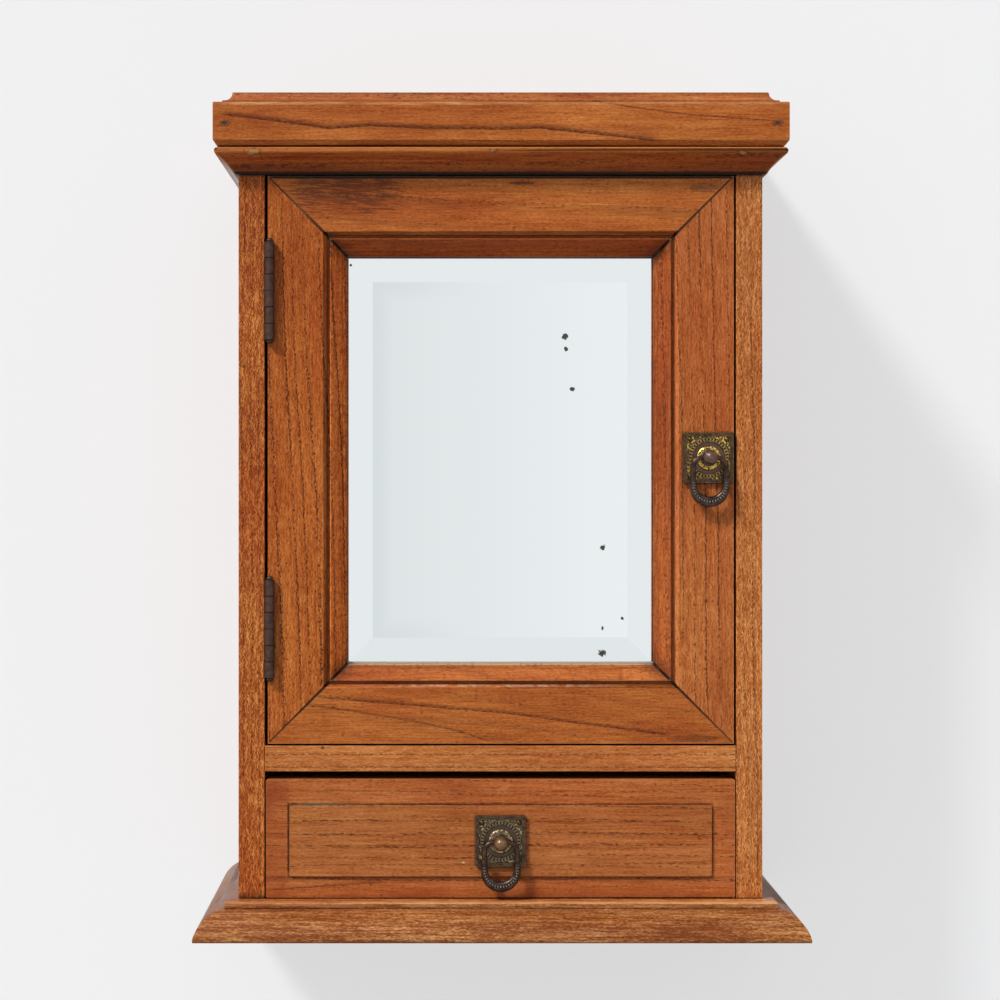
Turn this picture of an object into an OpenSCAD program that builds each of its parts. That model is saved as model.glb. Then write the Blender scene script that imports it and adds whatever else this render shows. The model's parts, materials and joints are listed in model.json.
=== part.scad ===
// Wall medicine cabinet in oiled hardwood: one mirrored door over one drawer, moulded base and cornice.
// X runs to the right, Y from the front to the wall, Z up. The origin is on the floor plane, under the
// middle of the cabinet's overall box.

/* [Carcass] */
// Width over the two sides
carcass_w = 320; // [280:1:420]
// Depth from the front edges of the sides to the wall
carcass_d = 154; // [130:1:200]
// Thickness of the sides
side_t = 16; // [13:0.5:19]
// Thickness of the shelf between door and drawer
divider_t = 15.9; // [12:0.1:20]
// Thickness of the board over the door
top_board_t = 15.9; // [12:0.1:18]
// Depth of the grooves that hold those two boards
dado_depth = 4; // [2:0.5:6]
// Length of side left uncut in front of each groove
dado_stop = 10; // [5:1:20]
// Thickness of the back boards
back_t = 8; // [5:0.5:10]
// Width of the rebate that takes the back boards
back_lap = 8; // [5:0.5:10]
// Width by which neighbouring back boards overlap
ship_lap = 6; // [4:0.5:10]

/* [Base] */
// Thickness of the base board
base_t = 20.8; // [17:0.1:26]
// How far the base stands out beyond each side
base_over_side = 25; // [20:0.5:32]
// How far the base stands out in front
base_over_front = 31; // [26:0.5:40]
// Width of the moulding around the base
base_mould_w = 17; // [12:0.5:18]
// Height of the flat step above the moulding
base_step_h = 3.6; // [2:0.1:5]
// Set-in of the groove under that step
base_quirk = 0.6; // [0.3:0.1:1.5]
// Height of the flat edge at the bottom of the moulding
base_edge_h = 2.2; // [0.5:0.1:3]
// Radius of the rounded moulding
base_round_r = 20; // [18:0.5:40]

/* [Cornice] */
// Height of the moulded strip under the fascia
crown_h = 15.7; // [12:0.1:22]
// How far the bottom of the strip stands out from the carcass
crown_toe = 2.3; // [1:0.1:4]
// Radius of the bead along the top of the strip
crown_bead_r = 2.6; // [1.5:0.1:3.5]
// How far the bead stands out from the carcass
crown_out = 13.7; // [10:0.1:18]
// Radius of the hollow below the bead
crown_cove_r = 34; // [20:1:60]
// How far the strip hangs down in front of the gap over the door
crown_drop = 0.7; // [0.2:0.1:1]
// Height of the fascia boards
fascia_h = 26.5; // [20:0.5:40]
// Thickness of the fascia boards
fascia_t = 14.4; // [11:0.1:18]
// Set-in of the bevel along the bottom of the fascia
fascia_bevel_w = 2.8; // [1:0.1:4]
// Height of that bevel
fascia_bevel_h = 3.5; // [1:0.1:6]
// Thickness of the cap board
cap_t = 7.6; // [6:0.1:12]
// How far the cap's edge sits in from the face of the fascia
cap_setback = 5.2; // [3:0.1:8]
// Radius of the hollow around the cap
cap_cove_r = 5.8; // [3:0.1:5.9]

/* [Door] */
// Height of the door
door_h = 346.9; // [280:0.1:450]
// Thickness of the door
door_t = 22; // [20:0.1:26]
// Width of the frame members
frame_w = 48; // [44:0.5:60]
// Gap beside the hinges
door_gap_hinge = 1.8; // [1.6:0.1:2.5]
// Gap beside the catch
door_gap_catch = 1.4; // [1.3:0.1:1.8]
// Gap under the door
door_gap_below = 1.2; // [0.8:0.1:2]
// Gap above the door
door_gap_above = 1.3; // [1:0.1:2]
// Width of the flat face of the frame
frame_flat = 33.5; // [28:0.5:36]
// Radius that rounds the flat face off
frame_round_r = 2.5; // [1:0.1:3]
// Width of the groove beside the moulding
frame_groove_w = 1.8; // [1:0.1:3]
// Depth of that groove below the face
frame_groove_v = 3.4; // [2.6:0.1:5]
// Depth of the moulding's high edge below the face
ogee_top_v = 2.2; // [1:0.1:2.5]
// Depth of the moulding's low edge below the face
ogee_foot_v = 9; // [6:0.1:10]
// Width of the flat fillet beside the glass
fillet_w = 2.8; // [1.5:0.1:4]
// Thickness of the lip in front of the glass
lip_t = 13.2; // [12:0.1:14]
// Width of the rebate that holds the glass
rebate_w = 6; // [4:0.5:8]
// Side of the square keys across the mitres
key_side = 24; // [16:1:30]
// Thickness of those keys
key_t = 4; // [2:0.5:5]

/* [Mirror] */
// Thickness of the glass
glass_t = 5; // [4:0.1:5.4]
// Thickness left at the glass's edge
glass_edge_t = 2.5; // [1.5:0.1:3]
// Width of the bevel that shows
bevel_show_w = 16; // [8:0.5:25]
// Thickness of the backing board
backing_t = 2.6; // [2:0.1:3]
// Play around the glass and the backing board
glass_play = 0.8; // [0.3:0.1:1.5]
// Diameter of the brads behind the backing board
brad_d = 1.4; // [1:0.1:1.6]
// Length of those brads
brad_l = 13; // [10:0.5:16]

/* [Hinges] */
// Length of each hinge
hinge_l = 60; // [48:1:75]
// Distance from each end of the door to its hinge
hinge_inset = 40.4; // [25:0.1:60]
// Diameter of the barrel
barrel_d = 5.5; // [5:0.1:6.5]
// Diameter of the pin
hinge_pin_d = 2.6; // [2:0.1:3]
// Distance of the pin from the side's inner face
hinge_axis_in = 3.3; // [3.2:0.1:3.6]
// Distance of the pin in front of the door's face
hinge_axis_out = 3.2; // [3:0.1:4.5]
// Thickness of the leaves
leaf_t = 1.2; // [0.8:0.1:1.3]
// Depth of the leaves behind the door's face
leaf_d = 17; // [13:0.5:20]

/* [Catch] */
// Height of the catch above the bottom of the door
catch_z = 250; // [200:1:270]
// Diameter of the ball
ball_d = 5; // [4:0.1:6]
// How far the ball stands out of the door
ball_out = 1.9; // [1.8:0.1:2]
// Outer diameter of the barrel behind the ball
catch_tube_d = 7; // [6.6:0.1:8]
// Length of that barrel
catch_tube_l = 13; // [11:0.5:18]
// Height of the striking plate
strike_h = 32; // [26:1:40]
// Width of the striking plate
strike_w = 9; // [8:0.5:11]
// Thickness of the striking plate
strike_t = 1; // [0.6:0.1:1.2]

/* [Drawer] */
// Height of the drawer front
drawer_front_h = 72.5; // [60:0.5:90]
// Gap over the drawer front
drawer_gap_above = 4.6; // [1:0.1:6]
// Play under the drawer
drawer_play_below = 0.5; // [0.3:0.1:1]
// Play at each side of the drawer
drawer_play_side = 0.6; // [0.4:0.1:1]
// Thickness of the drawer front
drawer_front_t = 16; // [14:0.5:20]
// Thickness of the drawer sides
drawer_side_t = 9; // [7:0.5:12]
// Height of the drawer sides
drawer_side_h = 64; // [50:0.5:70]
// Thickness of the drawer back
drawer_back_t = 8; // [6:0.5:12]
// Thickness of the stops behind the drawer
drawer_stop_t = 11.7; // [6:0.1:20]
// Thickness of the drawer bottom
drawer_bottom_t = 4; // [3:0.5:5]
// Height of the groove for the bottom above the lower edge
bottom_groove_z = 6; // [4:0.5:10]
// Depth of that groove
bottom_groove_d = 4; // [2:0.5:5]
// How far the raised field stands out
field_t = 1.5; // [0.8:0.1:2.5]
// Border left at each end of the raised field
field_border_side = 14.4; // [8:0.1:25]
// Border left above the raised field
field_border_top = 15.6; // [8:0.1:22]
// Border left below the raised field
field_border_bottom = 13.4; // [8:0.1:22]
// Dovetails at each corner
tail_count = 3; // [2:1:4]

/* [Shelves] */
// Thickness of the shelves
shelf_t = 10; // [8:0.5:14]
// Distance of the shelves behind the door
shelf_setback = 10; // [9.5:0.5:30]
// Height of the lower shelf's underside above the divider
shelf_z_low = 108; // [60:1:130]
// Height of the upper shelf's underside above the divider
shelf_z_high = 222; // [180:1:250]
// Side of the square battens that carry the shelves
batten_side = 9; // [7:0.5:12]
// Distance of the battens' ends behind the shelves' front edges
batten_setback = 12; // [5:0.5:30]
// Width of the strip that stops the door
door_stop_w = 9; // [7:0.5:12]
// Thickness of that strip
door_stop_t = 7.6; // [5:0.1:9]
// Height of the rail that hangs the cabinet
hang_rail_h = 40; // [30:1:50]
// Thickness of that rail
hang_rail_t = 14; // [10:0.5:18]
// Distance between the two hanging holes
hang_spacing = 200; // [120:5:220]
// Diameter of the hanging holes
hang_hole_d = 5; // [4:0.1:6]

/* [Pulls] */
// Side of the square plate
plate_side = 30.5; // [26:0.1:34]
// Thickness of the plate
plate_t = 1.5; // [1:0.1:2]
// Width of the plate's raised border
border_w = 2; // [1:0.1:3]
// Height of the plate's relief
relief_h = 0.9; // [0.5:0.1:1.2]
// Inner radius of the notched ring
ring_r_in = 9.8; // [9:0.1:10.2]
// Outer radius of the notched ring
ring_r_out = 12.7; // [11:0.1:12.9]
// Number of notches in the ring
ring_notches = 36; // [12:1:36]
// Radius of the rose around the post
rose_r = 7.5; // [6:0.1:8.5]
// Height of the rose above the plate
rose_h = 2.1; // [1:0.1:2.6]
// Diameter of the ball on the post
knob_d = 8.7; // [7:0.1:9.5]
// Distance of the ball's centre from the wood
knob_out = 12.3; // [12:0.1:15]
// Diameter of the post
post_d = 5.4; // [4:0.1:6]
// Distance of the bail's pivot from the wood
pivot_out = 6.6; // [6:0.1:6.7]
// Width over the bail
bail_w = 24; // [22:0.1:28]
// Drop of the bail below its pivot
bail_drop = 30; // [27:0.1:36]
// Diameter of the bail's arms
bail_arm_d = 4; // [3.2:0.1:4.2]
// Diameter of the arms where they bend in to their pivot
bail_neck_d = 3; // [2.7:0.1:3.2]
// Thickness of the bail at its bottom
bail_bottom_h = 6.4; // [5:0.1:7.5]
// Diameter of the bail's pivot tips
pivot_d = 2.2; // [1.6:0.1:2.6]
// Number of beads along the bottom of the bail
bail_beads = 17; // [5:2:17]
// Distance of the door pull's centre from the door's catch edge
door_pull_in = 15.6; // [15.3:0.1:17]
// Height of the door pull's centre above the door's lower edge
door_pull_z = 174.6; // [120:0.1:220]
// Height of the drawer pull's centre above the drawer's lower edge
drawer_pull_z = 35.1; // [32:0.1:50]

/* [Fasteners] */
// Length of the hinge screws
hinge_screw_l = 12; // [8:0.5:14]
// Shank diameter of the hinge screws
hinge_screw_d = 2.6; // [2:0.1:3]
// Head diameter of the hinge screws
hinge_screw_head_d = 5; // [4:0.1:5.6]
// Length of the screws through the base
base_screw_l = 48; // [36:1:60]
// Shank diameter of the screws through the base
base_screw_d = 3.8; // [3:0.1:4.5]
// Head diameter of the screws through the base
base_screw_head_d = 7.6; // [6:0.1:9]
// Length of the board nails
nail_l = 24; // [20:1:28]
// Shank diameter of the board nails
nail_d = 1.8; // [1.2:0.1:2.2]
// Head diameter of the board nails
nail_head_d = 3.6; // [3:0.1:4.5]
// Width of the lozenge head of the cornice nails
lozenge_w = 5; // [4:0.1:6]
// Height of that head
lozenge_h = 3; // [2.4:0.1:4]

/* [Hidden] */
$fn = 48;

// Clearances
fit_gap = 0.05;
seat_gap = 0.3;
shelf_play = 0.5;
over = 1;

// Finishes
oak = [0.67, 0.40, 0.21];
oak_red = [0.62, 0.33, 0.16];
oak_edge = [0.70, 0.47, 0.25];
inner_wood = [0.72, 0.52, 0.33];
dark_iron = [0.22, 0.17, 0.14];
old_brass = [0.42, 0.34, 0.18];
dark_bronze = [0.30, 0.23, 0.17];
bright_steel = [0.62, 0.62, 0.60];
silvered = [0.82, 0.87, 0.88];

// Depths: the base sets the overall depth
overall_d = carcass_d + base_over_front;
wall_y = overall_d / 2;
front_y = wall_y - carcass_d;
base_front_y = -overall_d / 2;
back_y = wall_y - back_t;

// Widths
half_w = carcass_w / 2;
inner_half = half_w - side_t;

// Heights, from the floor plane up
drawer_z = base_t + drawer_play_below;
divider_z = drawer_z + drawer_front_h + drawer_gap_above;
divider_top = divider_z + divider_t;
door_z = divider_top + door_gap_below;
door_top = door_z + door_h;
top_board_z = door_top + door_gap_above;
crown_z = top_board_z - crown_drop;
fascia_z = crown_z + crown_h;
cap_z = fascia_z + fascia_h;

// Base moulding: centre of its round, from the chord between its two edges
base_arc_top = [base_over_side - base_mould_w, base_t - base_step_h];
base_arc_foot = [base_over_side, base_edge_h];
base_arc_centre = arc_centre(base_arc_foot, base_arc_top, base_round_r);
base_front_extra = base_over_front - base_over_side;
base_step_out = base_over_side - base_mould_w - base_quirk;

// Cornice
fascia_x = half_w + fascia_t;
crown_bead_c = [crown_out - crown_bead_r, crown_h - crown_bead_r - fascia_bevel_w * 0.1];
crown_cove_top = crown_bead_c + crown_bead_r * [cos(-35), sin(-35)];
crown_cove_c = arc_centre(crown_cove_top, [crown_toe, 0], crown_cove_r);

// Door and its frame
door_w = 2 * inner_half - door_gap_hinge - door_gap_catch;
door_x = -inner_half + door_gap_hinge;
door_right = door_x + door_w;
door_back_y = front_y + door_t;
sight_w = door_w - 2 * frame_w;
sight_h = door_h - 2 * frame_w;
sight_x = door_x + frame_w;
sight_z = door_z + frame_w;
groove_u = frame_flat + frame_round_r;
ogee_u = groove_u + frame_groove_w;
ogee_end_u = frame_w - fillet_w;
fillet_step = 0.6;
fillet_v = ogee_foot_v + fillet_step;
ogee_steps = 10;

// Mirror: the bevel's slope decides how far the glass reaches into the sight opening
glass_lap = rebate_w - glass_play;
bevel_w = bevel_show_w + glass_lap;
bevel_drop = glass_t - glass_edge_t;
glass_front_y = front_y + lip_t - bevel_drop * (1 - glass_lap / bevel_w) + fit_gap;
glass_back_y = glass_front_y + glass_t;
glass_w = sight_w + 2 * glass_lap;
glass_h = sight_h + 2 * glass_lap;
backing_back_y = glass_back_y + backing_t;
brad_y = backing_back_y + brad_d / 2 + fit_gap;

// Hinges
hinge_axis_x = -inner_half + hinge_axis_in;
hinge_axis_y = front_y - hinge_axis_out;
hinge_low_z = door_z + hinge_inset;
hinge_high_z = door_top - hinge_inset - hinge_l;
hinge_zs = [hinge_low_z, hinge_high_z];
knuckle_gap = 0.3;
knuckle_cuts = [0, 1 / 6, 2 / 6, 4 / 6, 5 / 6, 1];
fixed_knuckles = [0, 2, 4];
door_knuckles = [1, 3];
hinge_screw_y = front_y + leaf_d * 0.56;
hinge_screw_zs = [hinge_l * 0.14, hinge_l * 0.5, hinge_l * 0.86];
pin_tip_h = 1.6;
leaf_corner_r = 1.5;

// Catch
catch_y = front_y + door_t * 0.45;
catch_abs_z = door_z + catch_z;
ball_x = door_right + ball_out - ball_d / 2;
catch_flange_t = 0.8;
catch_lip_t = 0.3;
catch_flange_out = 1;
catch_bore_r = ball_d / 2 + fit_gap;
catch_mouth_r = sqrt(pow(ball_d / 2, 2) - pow(door_right - catch_lip_t - ball_x, 2)) + 0.03;
catch_wall_end = 1.5;
catch_spring_x = door_right - catch_tube_l + catch_wall_end;
spring_wire_d = 0.5;
spring_turns = 6;
spring_r = ball_d / 2 - 0.8;
spring_end_x = ball_x - ball_d * 0.41;
strike_hole_r = sqrt(pow(ball_d / 2, 2) - pow(inner_half - ball_x, 2)) + 0.5;
strike_screw_d = 2;
strike_screw_l = 9;

// Drawer
drawer_half = inner_half - drawer_play_side;
drawer_back_y = back_y - drawer_stop_t - seat_gap;
drawer_pull_c = drawer_z + drawer_pull_z;
field_w = 2 * drawer_half - 2 * field_border_side;
field_h = drawer_front_h - field_border_top - field_border_bottom;
field_z = drawer_z + field_border_bottom;
drawer_bottom_z = drawer_z + bottom_groove_z;
drawer_inside_z = drawer_bottom_z + drawer_bottom_t;
drawer_side_top = drawer_z + drawer_side_h;
drawer_back_drop = 4;
drawer_inner_half = drawer_half - drawer_side_t;
drawer_groove_x = drawer_inner_half + bottom_groove_d;
drawer_front_back_y = front_y + drawer_front_t;
drawer_corner_r = 1.5;
field_corner_r = 1.6;
drawer_stop_w = 18;
drawer_stop_h = 9;
drawer_stop_in = 18;
tail_margin = 2;
tail_l = drawer_front_t * 0.65;
tail_pitch = (drawer_side_top - tail_margin - drawer_inside_z) / tail_count;
tail_root = tail_pitch * 0.28;
tail_flare = 1.2;

// Shelves
shelf_front_y = door_back_y + shelf_setback;
batten_front_y = shelf_front_y + batten_setback;
hang_rail_z = top_board_z - hang_rail_h;
hang_z = hang_rail_z + hang_rail_h / 2;

// Pulls
rivet_d = 3;
rivet_head_d = 4.6;
rivet_tail = 1.2;
pull_pin_in = 4;
pull_pin_d = 1.3;
pull_pin_head_d = 3.2;
pull_pin_l = 8;
pull_pin_dome_r = pull_pin_head_d * 0.55;
pull_pin_dome_in = pull_pin_head_d * 0.22;
ring_bevel = 0.3;
ring_rim = 0.6;
notch_w = 0.8;
notch_z = plate_t + relief_h * 0.4;
rose_rim_w = 1.2;
rose_rim_h = rose_h * 0.45;
rose_ridge_h = rose_h * 0.7;
rose_dish_w = 2;
rose_dish_h = rose_h * 0.55;
rose_top_r = post_d / 2 + 1;
post_collar_r = post_d / 2 + 0.7;
post_collar_h = 0.6;
bail_half = (bail_w - bail_arm_d) / 2;
bail_turn_r = 5.5;
bail_foot_z = -(bail_drop - bail_w / 2);
bail_inner_r = bail_w / 2 - bail_arm_d;
bail_inner_z = bail_inner_r + bail_bottom_h - bail_drop;
bail_tip_x = 0.9;
bail_shoulder_x = post_d / 2 + 0.4;
bead_d = 1.8;
bead_sweep = 80;
bead_y = -bail_arm_d * 0.39;
bead_z = (bail_foot_z + bail_inner_z) / 2;
door_pull_x = door_right - door_pull_in;
door_pull_abs_z = door_z + door_pull_z;

// Fasteners
screw_slot = 0.6;
base_screw_x = half_w - side_t / 2;
base_screw_ys = [front_y + carcass_d * 0.2, front_y + carcass_d * 0.8];
cap_nail_shares = [0.12, 0.5, 0.88];
nail_head_t = 1;
lozenge_t = 1.4;
lozenge_x = half_w + fascia_t / 2;
lozenge_z = fascia_z + fascia_h * 0.52;
board_pitch = (2 * (inner_half + back_lap) - 2 * fit_gap) / 3;
back_nail_out = board_pitch * 0.27;
back_nail_zs = [divider_z + divider_t / 2, top_board_z + top_board_t / 2];
brad_shares = [0.2, 0.8];
brad_in = rebate_w + brad_l / 2;
key_cover = 2.4;
key_y = door_back_y - key_cover - key_t;
strike_screw_out = strike_h * 0.36;

// Centre of the circle of radius r through points p and q, on the left of the way from p to q
function arc_centre(p, q, r) =
    let (m = (p + q) / 2, d = q - p, l = norm(d), s = sqrt(r * r - l * l / 4))
    m + [-d[1], d[0]] / l * s;

// Points of an S-shaped moulding from p to q, flat at both ends
function ogee_points(p, q, n) =
    [for (i = [0:n]) let (t = i / n)
        [p[0] + (q[0] - p[0]) * t, p[1] + (q[1] - p[1]) * (1 - cos(180 * t)) / 2]];

// Drawing planes: a flat shape in (y, z), (x, z) or (x, y), stretched along the axis left over
module run_x(x0, x1) {
    translate([x0, 0, 0]) rotate([90, 0, 90]) linear_extrude(x1 - x0) children();
}
module run_y(y0, y1) {
    translate([0, y1, 0]) rotate([90, 0, 0]) linear_extrude(y1 - y0) children();
}
module run_z(z0, z1) {
    translate([0, 0, z0]) linear_extrude(z1 - z0) children();
}
module box(a, b) {
    translate(a) cube(b - a);
}
module both_sides() {
    children();
    mirror([1, 0, 0]) children();
}

// A flat head screw: the head's top is at the origin, facing +Z
module flat_screw(l, d, head_d, grow = 0) {
    head_h = (head_d - d) / 2;
    rotate_extrude() polygon([
        [0, 0], [head_d / 2 + grow, 0], [d / 2 + grow, -head_h - grow],
        [d / 2 + grow, -l + d], [0, -l - grow]
    ]);
}
module slotted_screw(l, d, head_d) {
    difference() {
        flat_screw(l, d, head_d);
        translate([0, 0, -screw_slot / 2])
            cube([head_d + over, screw_slot, screw_slot + fit_gap], center = true);
    }
}
module board_nail(grow = 0) {
    rotate_extrude() polygon([
        [0, 0], [nail_head_d / 2 + grow, 0], [nail_head_d / 2 + grow, -nail_head_t - grow],
        [nail_d / 2 + grow, -nail_head_t - grow], [nail_d / 2 + grow, -nail_l + nail_d], [0, -nail_l - grow]
    ]);
}
module facing_front() { rotate([90, 0, 0]) children(); }
module facing_back() { rotate([-90, 0, 0]) children(); }
module facing_down() { rotate([180, 0, 0]) children(); }
module facing_right() { rotate([0, 90, 0]) children(); }
module facing_left() { rotate([0, -90, 0]) children(); }

// Places of the fasteners
module at_base_screws() {
    for (x = [-base_screw_x, base_screw_x], y = base_screw_ys)
        translate([x, y, 0]) facing_down() children();
}
module at_cornice_nails() {
    for (x = [-lozenge_x, lozenge_x])
        translate([x, front_y - fascia_t, lozenge_z]) facing_front() children();
}
module at_cap_nails() {
    for (x = [-half_w + side_t / 2, half_w - side_t / 2], s = cap_nail_shares)
        translate([x, front_y + carcass_d * s, cap_z + cap_t]) children();
}
module at_back_nails() {
    for (i = [-1, 0, 1], s = [-1, 1], z = back_nail_zs)
        translate([i * board_pitch + s * back_nail_out, wall_y, z]) facing_back() children();
}
module at_side_hinge_screws() {
    for (z0 = hinge_zs, z = hinge_screw_zs)
        translate([-inner_half + leaf_t, hinge_screw_y, z0 + z]) facing_right() children();
}
module at_door_hinge_screws() {
    for (z0 = hinge_zs, z = hinge_screw_zs)
        translate([door_x, hinge_screw_y, z0 + z]) facing_left() children();
}
module at_strike_screws() {
    for (s = [-1, 1])
        translate([inner_half, catch_y, catch_abs_z + s * strike_screw_out]) facing_left() children();
}

// Base: one board whose moulding runs around three edges. The profile starts at the carcass's face and
// reaches back under it
module base_edge_profile(reach) {
    difference() {
        polygon([
            [-reach, 0], [base_over_side, 0], [base_over_side, base_arc_top[1]],
            [base_step_out, base_arc_top[1]], [base_step_out, base_t], [-reach, base_t]
        ]);
        difference() {
            translate([base_arc_top[0] - base_quirk / 2, -over]) square(base_mould_w + 2 * over);
            translate(base_arc_centre) circle(base_round_r, $fn = 128);
        }
    }
}
module base_board() {
    color(oak_edge) difference() {
        intersection() {
            both_sides() run_y(base_front_y, wall_y) translate([half_w, 0]) base_edge_profile(half_w);
            run_x(-half_w - base_over_side, half_w + base_over_side)
                translate([front_y - base_front_extra, 0]) mirror([1, 0])
                    base_edge_profile(carcass_d + base_front_extra + over);
        }
        at_base_screws() flat_screw(base_screw_l, base_screw_d, base_screw_head_d, fit_gap);
    }
}

// Carcass
module side_board() {
    difference() {
        box([inner_half, front_y, base_t], [half_w, wall_y, cap_z]);
        box([inner_half - over, back_y, base_t - over], [inner_half + back_lap, wall_y + over, cap_z + over]);
        for (z = [[divider_z, divider_top], [top_board_z, top_board_z + top_board_t]])
            box([inner_half - over, front_y + dado_stop, z[0]],
                [inner_half + dado_depth, back_y + over, z[1]]);
        at_base_screws() flat_screw(base_screw_l, base_screw_d, base_screw_head_d, fit_gap);
        at_cap_nails() board_nail(fit_gap);
    }
}
module left_side() {
    color(oak_edge) difference() {
        mirror([1, 0, 0]) side_board();
        at_side_hinge_screws() flat_screw(hinge_screw_l, hinge_screw_d, hinge_screw_head_d, fit_gap);
    }
}
module right_side() {
    color(oak_edge) difference() {
        side_board();
        box([inner_half - over, catch_y - strike_w / 2, catch_abs_z - strike_h / 2],
            [inner_half + strike_t, catch_y + strike_w / 2, catch_abs_z + strike_h / 2]);
        translate([inner_half, catch_y, catch_abs_z])
            facing_left() cylinder(h = 2 * (strike_t + over), r = strike_hole_r, center = true);
        at_strike_screws() flat_screw(strike_screw_l, strike_screw_d, 2 * strike_screw_d, fit_gap);
    }
}
module cross_board(z, t) {
    box([-inner_half, front_y, z], [inner_half, back_y, z + t]);
    box([-inner_half - dado_depth, front_y + dado_stop, z], [inner_half + dado_depth, back_y, z + t]);
}
module divider_shelf() {
    color(oak) difference() {
        cross_board(divider_z, divider_t);
        at_back_nails() board_nail(fit_gap);
    }
}
module top_board() {
    color(oak) difference() {
        cross_board(top_board_z, top_board_t);
        at_back_nails() board_nail(fit_gap);
    }
}
module hanging_holes() {
    for (x = [-hang_spacing / 2, hang_spacing / 2])
        translate([x, wall_y + over, hang_z]) rotate([90, 0, 0])
            cylinder(h = back_t + hang_rail_t + 2 * over, d = hang_hole_d);
}
module hanging_rail() {
    color(inner_wood) difference() {
        box([-inner_half, back_y - hang_rail_t, hang_rail_z], [inner_half, back_y, top_board_z]);
        hanging_holes();
    }
}

// Back boards, half lapped along their long edges
module back_board(i) {
    x0 = (i - 0.5) * board_pitch;
    x1 = (i + 0.5) * board_pitch;
    lap = ship_lap / 2;
    half_y = back_y + back_t / 2;
    color(inner_wood) difference() {
        box([x0 - (i > -1 ? lap : 0), back_y, base_t], [x1 + (i < 1 ? lap : 0), wall_y, cap_z]);
        if (i < 1)
            box([x1 - lap - fit_gap, half_y - fit_gap, base_t - over],
                [x1 + lap + over, wall_y + over, cap_z + over]);
        if (i > -1)
            box([x0 - lap - over, back_y - over, base_t - over], [x0 + lap + fit_gap, half_y, cap_z + over]);
        hanging_holes();
        at_back_nails() board_nail(fit_gap);
    }
}
module back_board_left() { back_board(-1); }
module back_board_middle() { back_board(0); }
module back_board_right() { back_board(1); }

// Cornice
module crown_profile() {
    difference() {
        union() {
            polygon([
                [0, 0], [crown_toe, 0], crown_cove_top,
                crown_bead_c, [crown_bead_c[0], crown_h], [0, crown_h]
            ]);
            translate(crown_bead_c) circle(crown_bead_r, $fn = 64);
            translate([crown_bead_c[0] - crown_bead_r, crown_bead_c[1]])
                square([crown_bead_r, crown_h - crown_bead_c[1]]);
        }
        translate(crown_cove_c) circle(crown_cove_r, $fn = 160);
    }
}
module crown_front() {
    color(oak_red) intersection() {
        translate([0, front_y, crown_z]) run_x(-half_w - crown_out, half_w + crown_out)
            mirror([1, 0]) crown_profile();
        run_z(crown_z - over, fascia_z + over) polygon([
            [-half_w, front_y], [half_w, front_y],
            [half_w + crown_out, front_y - crown_out], [-half_w - crown_out, front_y - crown_out]
        ]);
    }
}
module crown_right() {
    color(oak_red) intersection() {
        translate([half_w, 0, crown_z]) run_y(front_y - crown_out, wall_y) crown_profile();
        run_z(crown_z - over, fascia_z + over) polygon([
            [half_w, front_y], [half_w + crown_out + over, front_y - crown_out - over],
            [half_w + crown_out + over, wall_y], [half_w, wall_y]
        ]);
    }
}
module crown_left() { mirror([1, 0, 0]) crown_right(); }

module fascia_profile() {
    polygon([
        [0, 0], [fascia_t - fascia_bevel_w, 0], [fascia_t, fascia_bevel_h],
        [fascia_t, fascia_h], [0, fascia_h]
    ]);
}
module lozenge_nail(grow = 0) {
    half = [lozenge_w / 2 + grow, lozenge_h / 2 + grow];
    shank_l = nail_l + fascia_t / 2;
    translate([0, 0, -lozenge_t - grow]) linear_extrude(lozenge_t + grow)
        polygon([[-half[0], 0], [0, -half[1]], [half[0], 0], [0, half[1]]]);
    translate([0, 0, -shank_l - grow]) cylinder(h = shank_l - lozenge_t / 2, d = nail_d + 2 * grow);
}
module fascia_front() {
    color(oak) difference() {
        intersection() {
            translate([0, front_y, fascia_z]) run_x(-fascia_x, fascia_x)
                mirror([1, 0]) fascia_profile();
            run_y(front_y - fascia_t, front_y) polygon([
                [-fascia_x + fascia_bevel_w, fascia_z], [fascia_x - fascia_bevel_w, fascia_z],
                [fascia_x, fascia_z + fascia_bevel_h], [fascia_x, cap_z],
                [-fascia_x, cap_z], [-fascia_x, fascia_z + fascia_bevel_h]
            ]);
        }
        at_cornice_nails() lozenge_nail(fit_gap);
    }
}
module fascia_right() {
    color(oak) difference() {
        translate([half_w, 0, fascia_z]) run_y(front_y, wall_y) fascia_profile();
        at_cornice_nails() lozenge_nail(fit_gap);
    }
}
module fascia_left() { mirror([1, 0, 0]) fascia_right(); }

// Cap board: a hollow runs around its front and sides
module cap_board() {
    edge_x = fascia_x - cap_setback;
    edge_y = front_y - fascia_t + cap_setback;
    color(oak) difference() {
        box([-edge_x, edge_y, cap_z], [edge_x, wall_y, cap_z + cap_t]);
        both_sides() run_y(edge_y - over, wall_y + over)
            translate([edge_x, cap_z + cap_t]) circle(cap_cove_r, $fn = 96);
        run_x(-edge_x - over, edge_x + over)
            translate([edge_y, cap_z + cap_t]) circle(cap_cove_r, $fn = 96);
        at_cap_nails() board_nail(fit_gap);
    }
}

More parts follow.
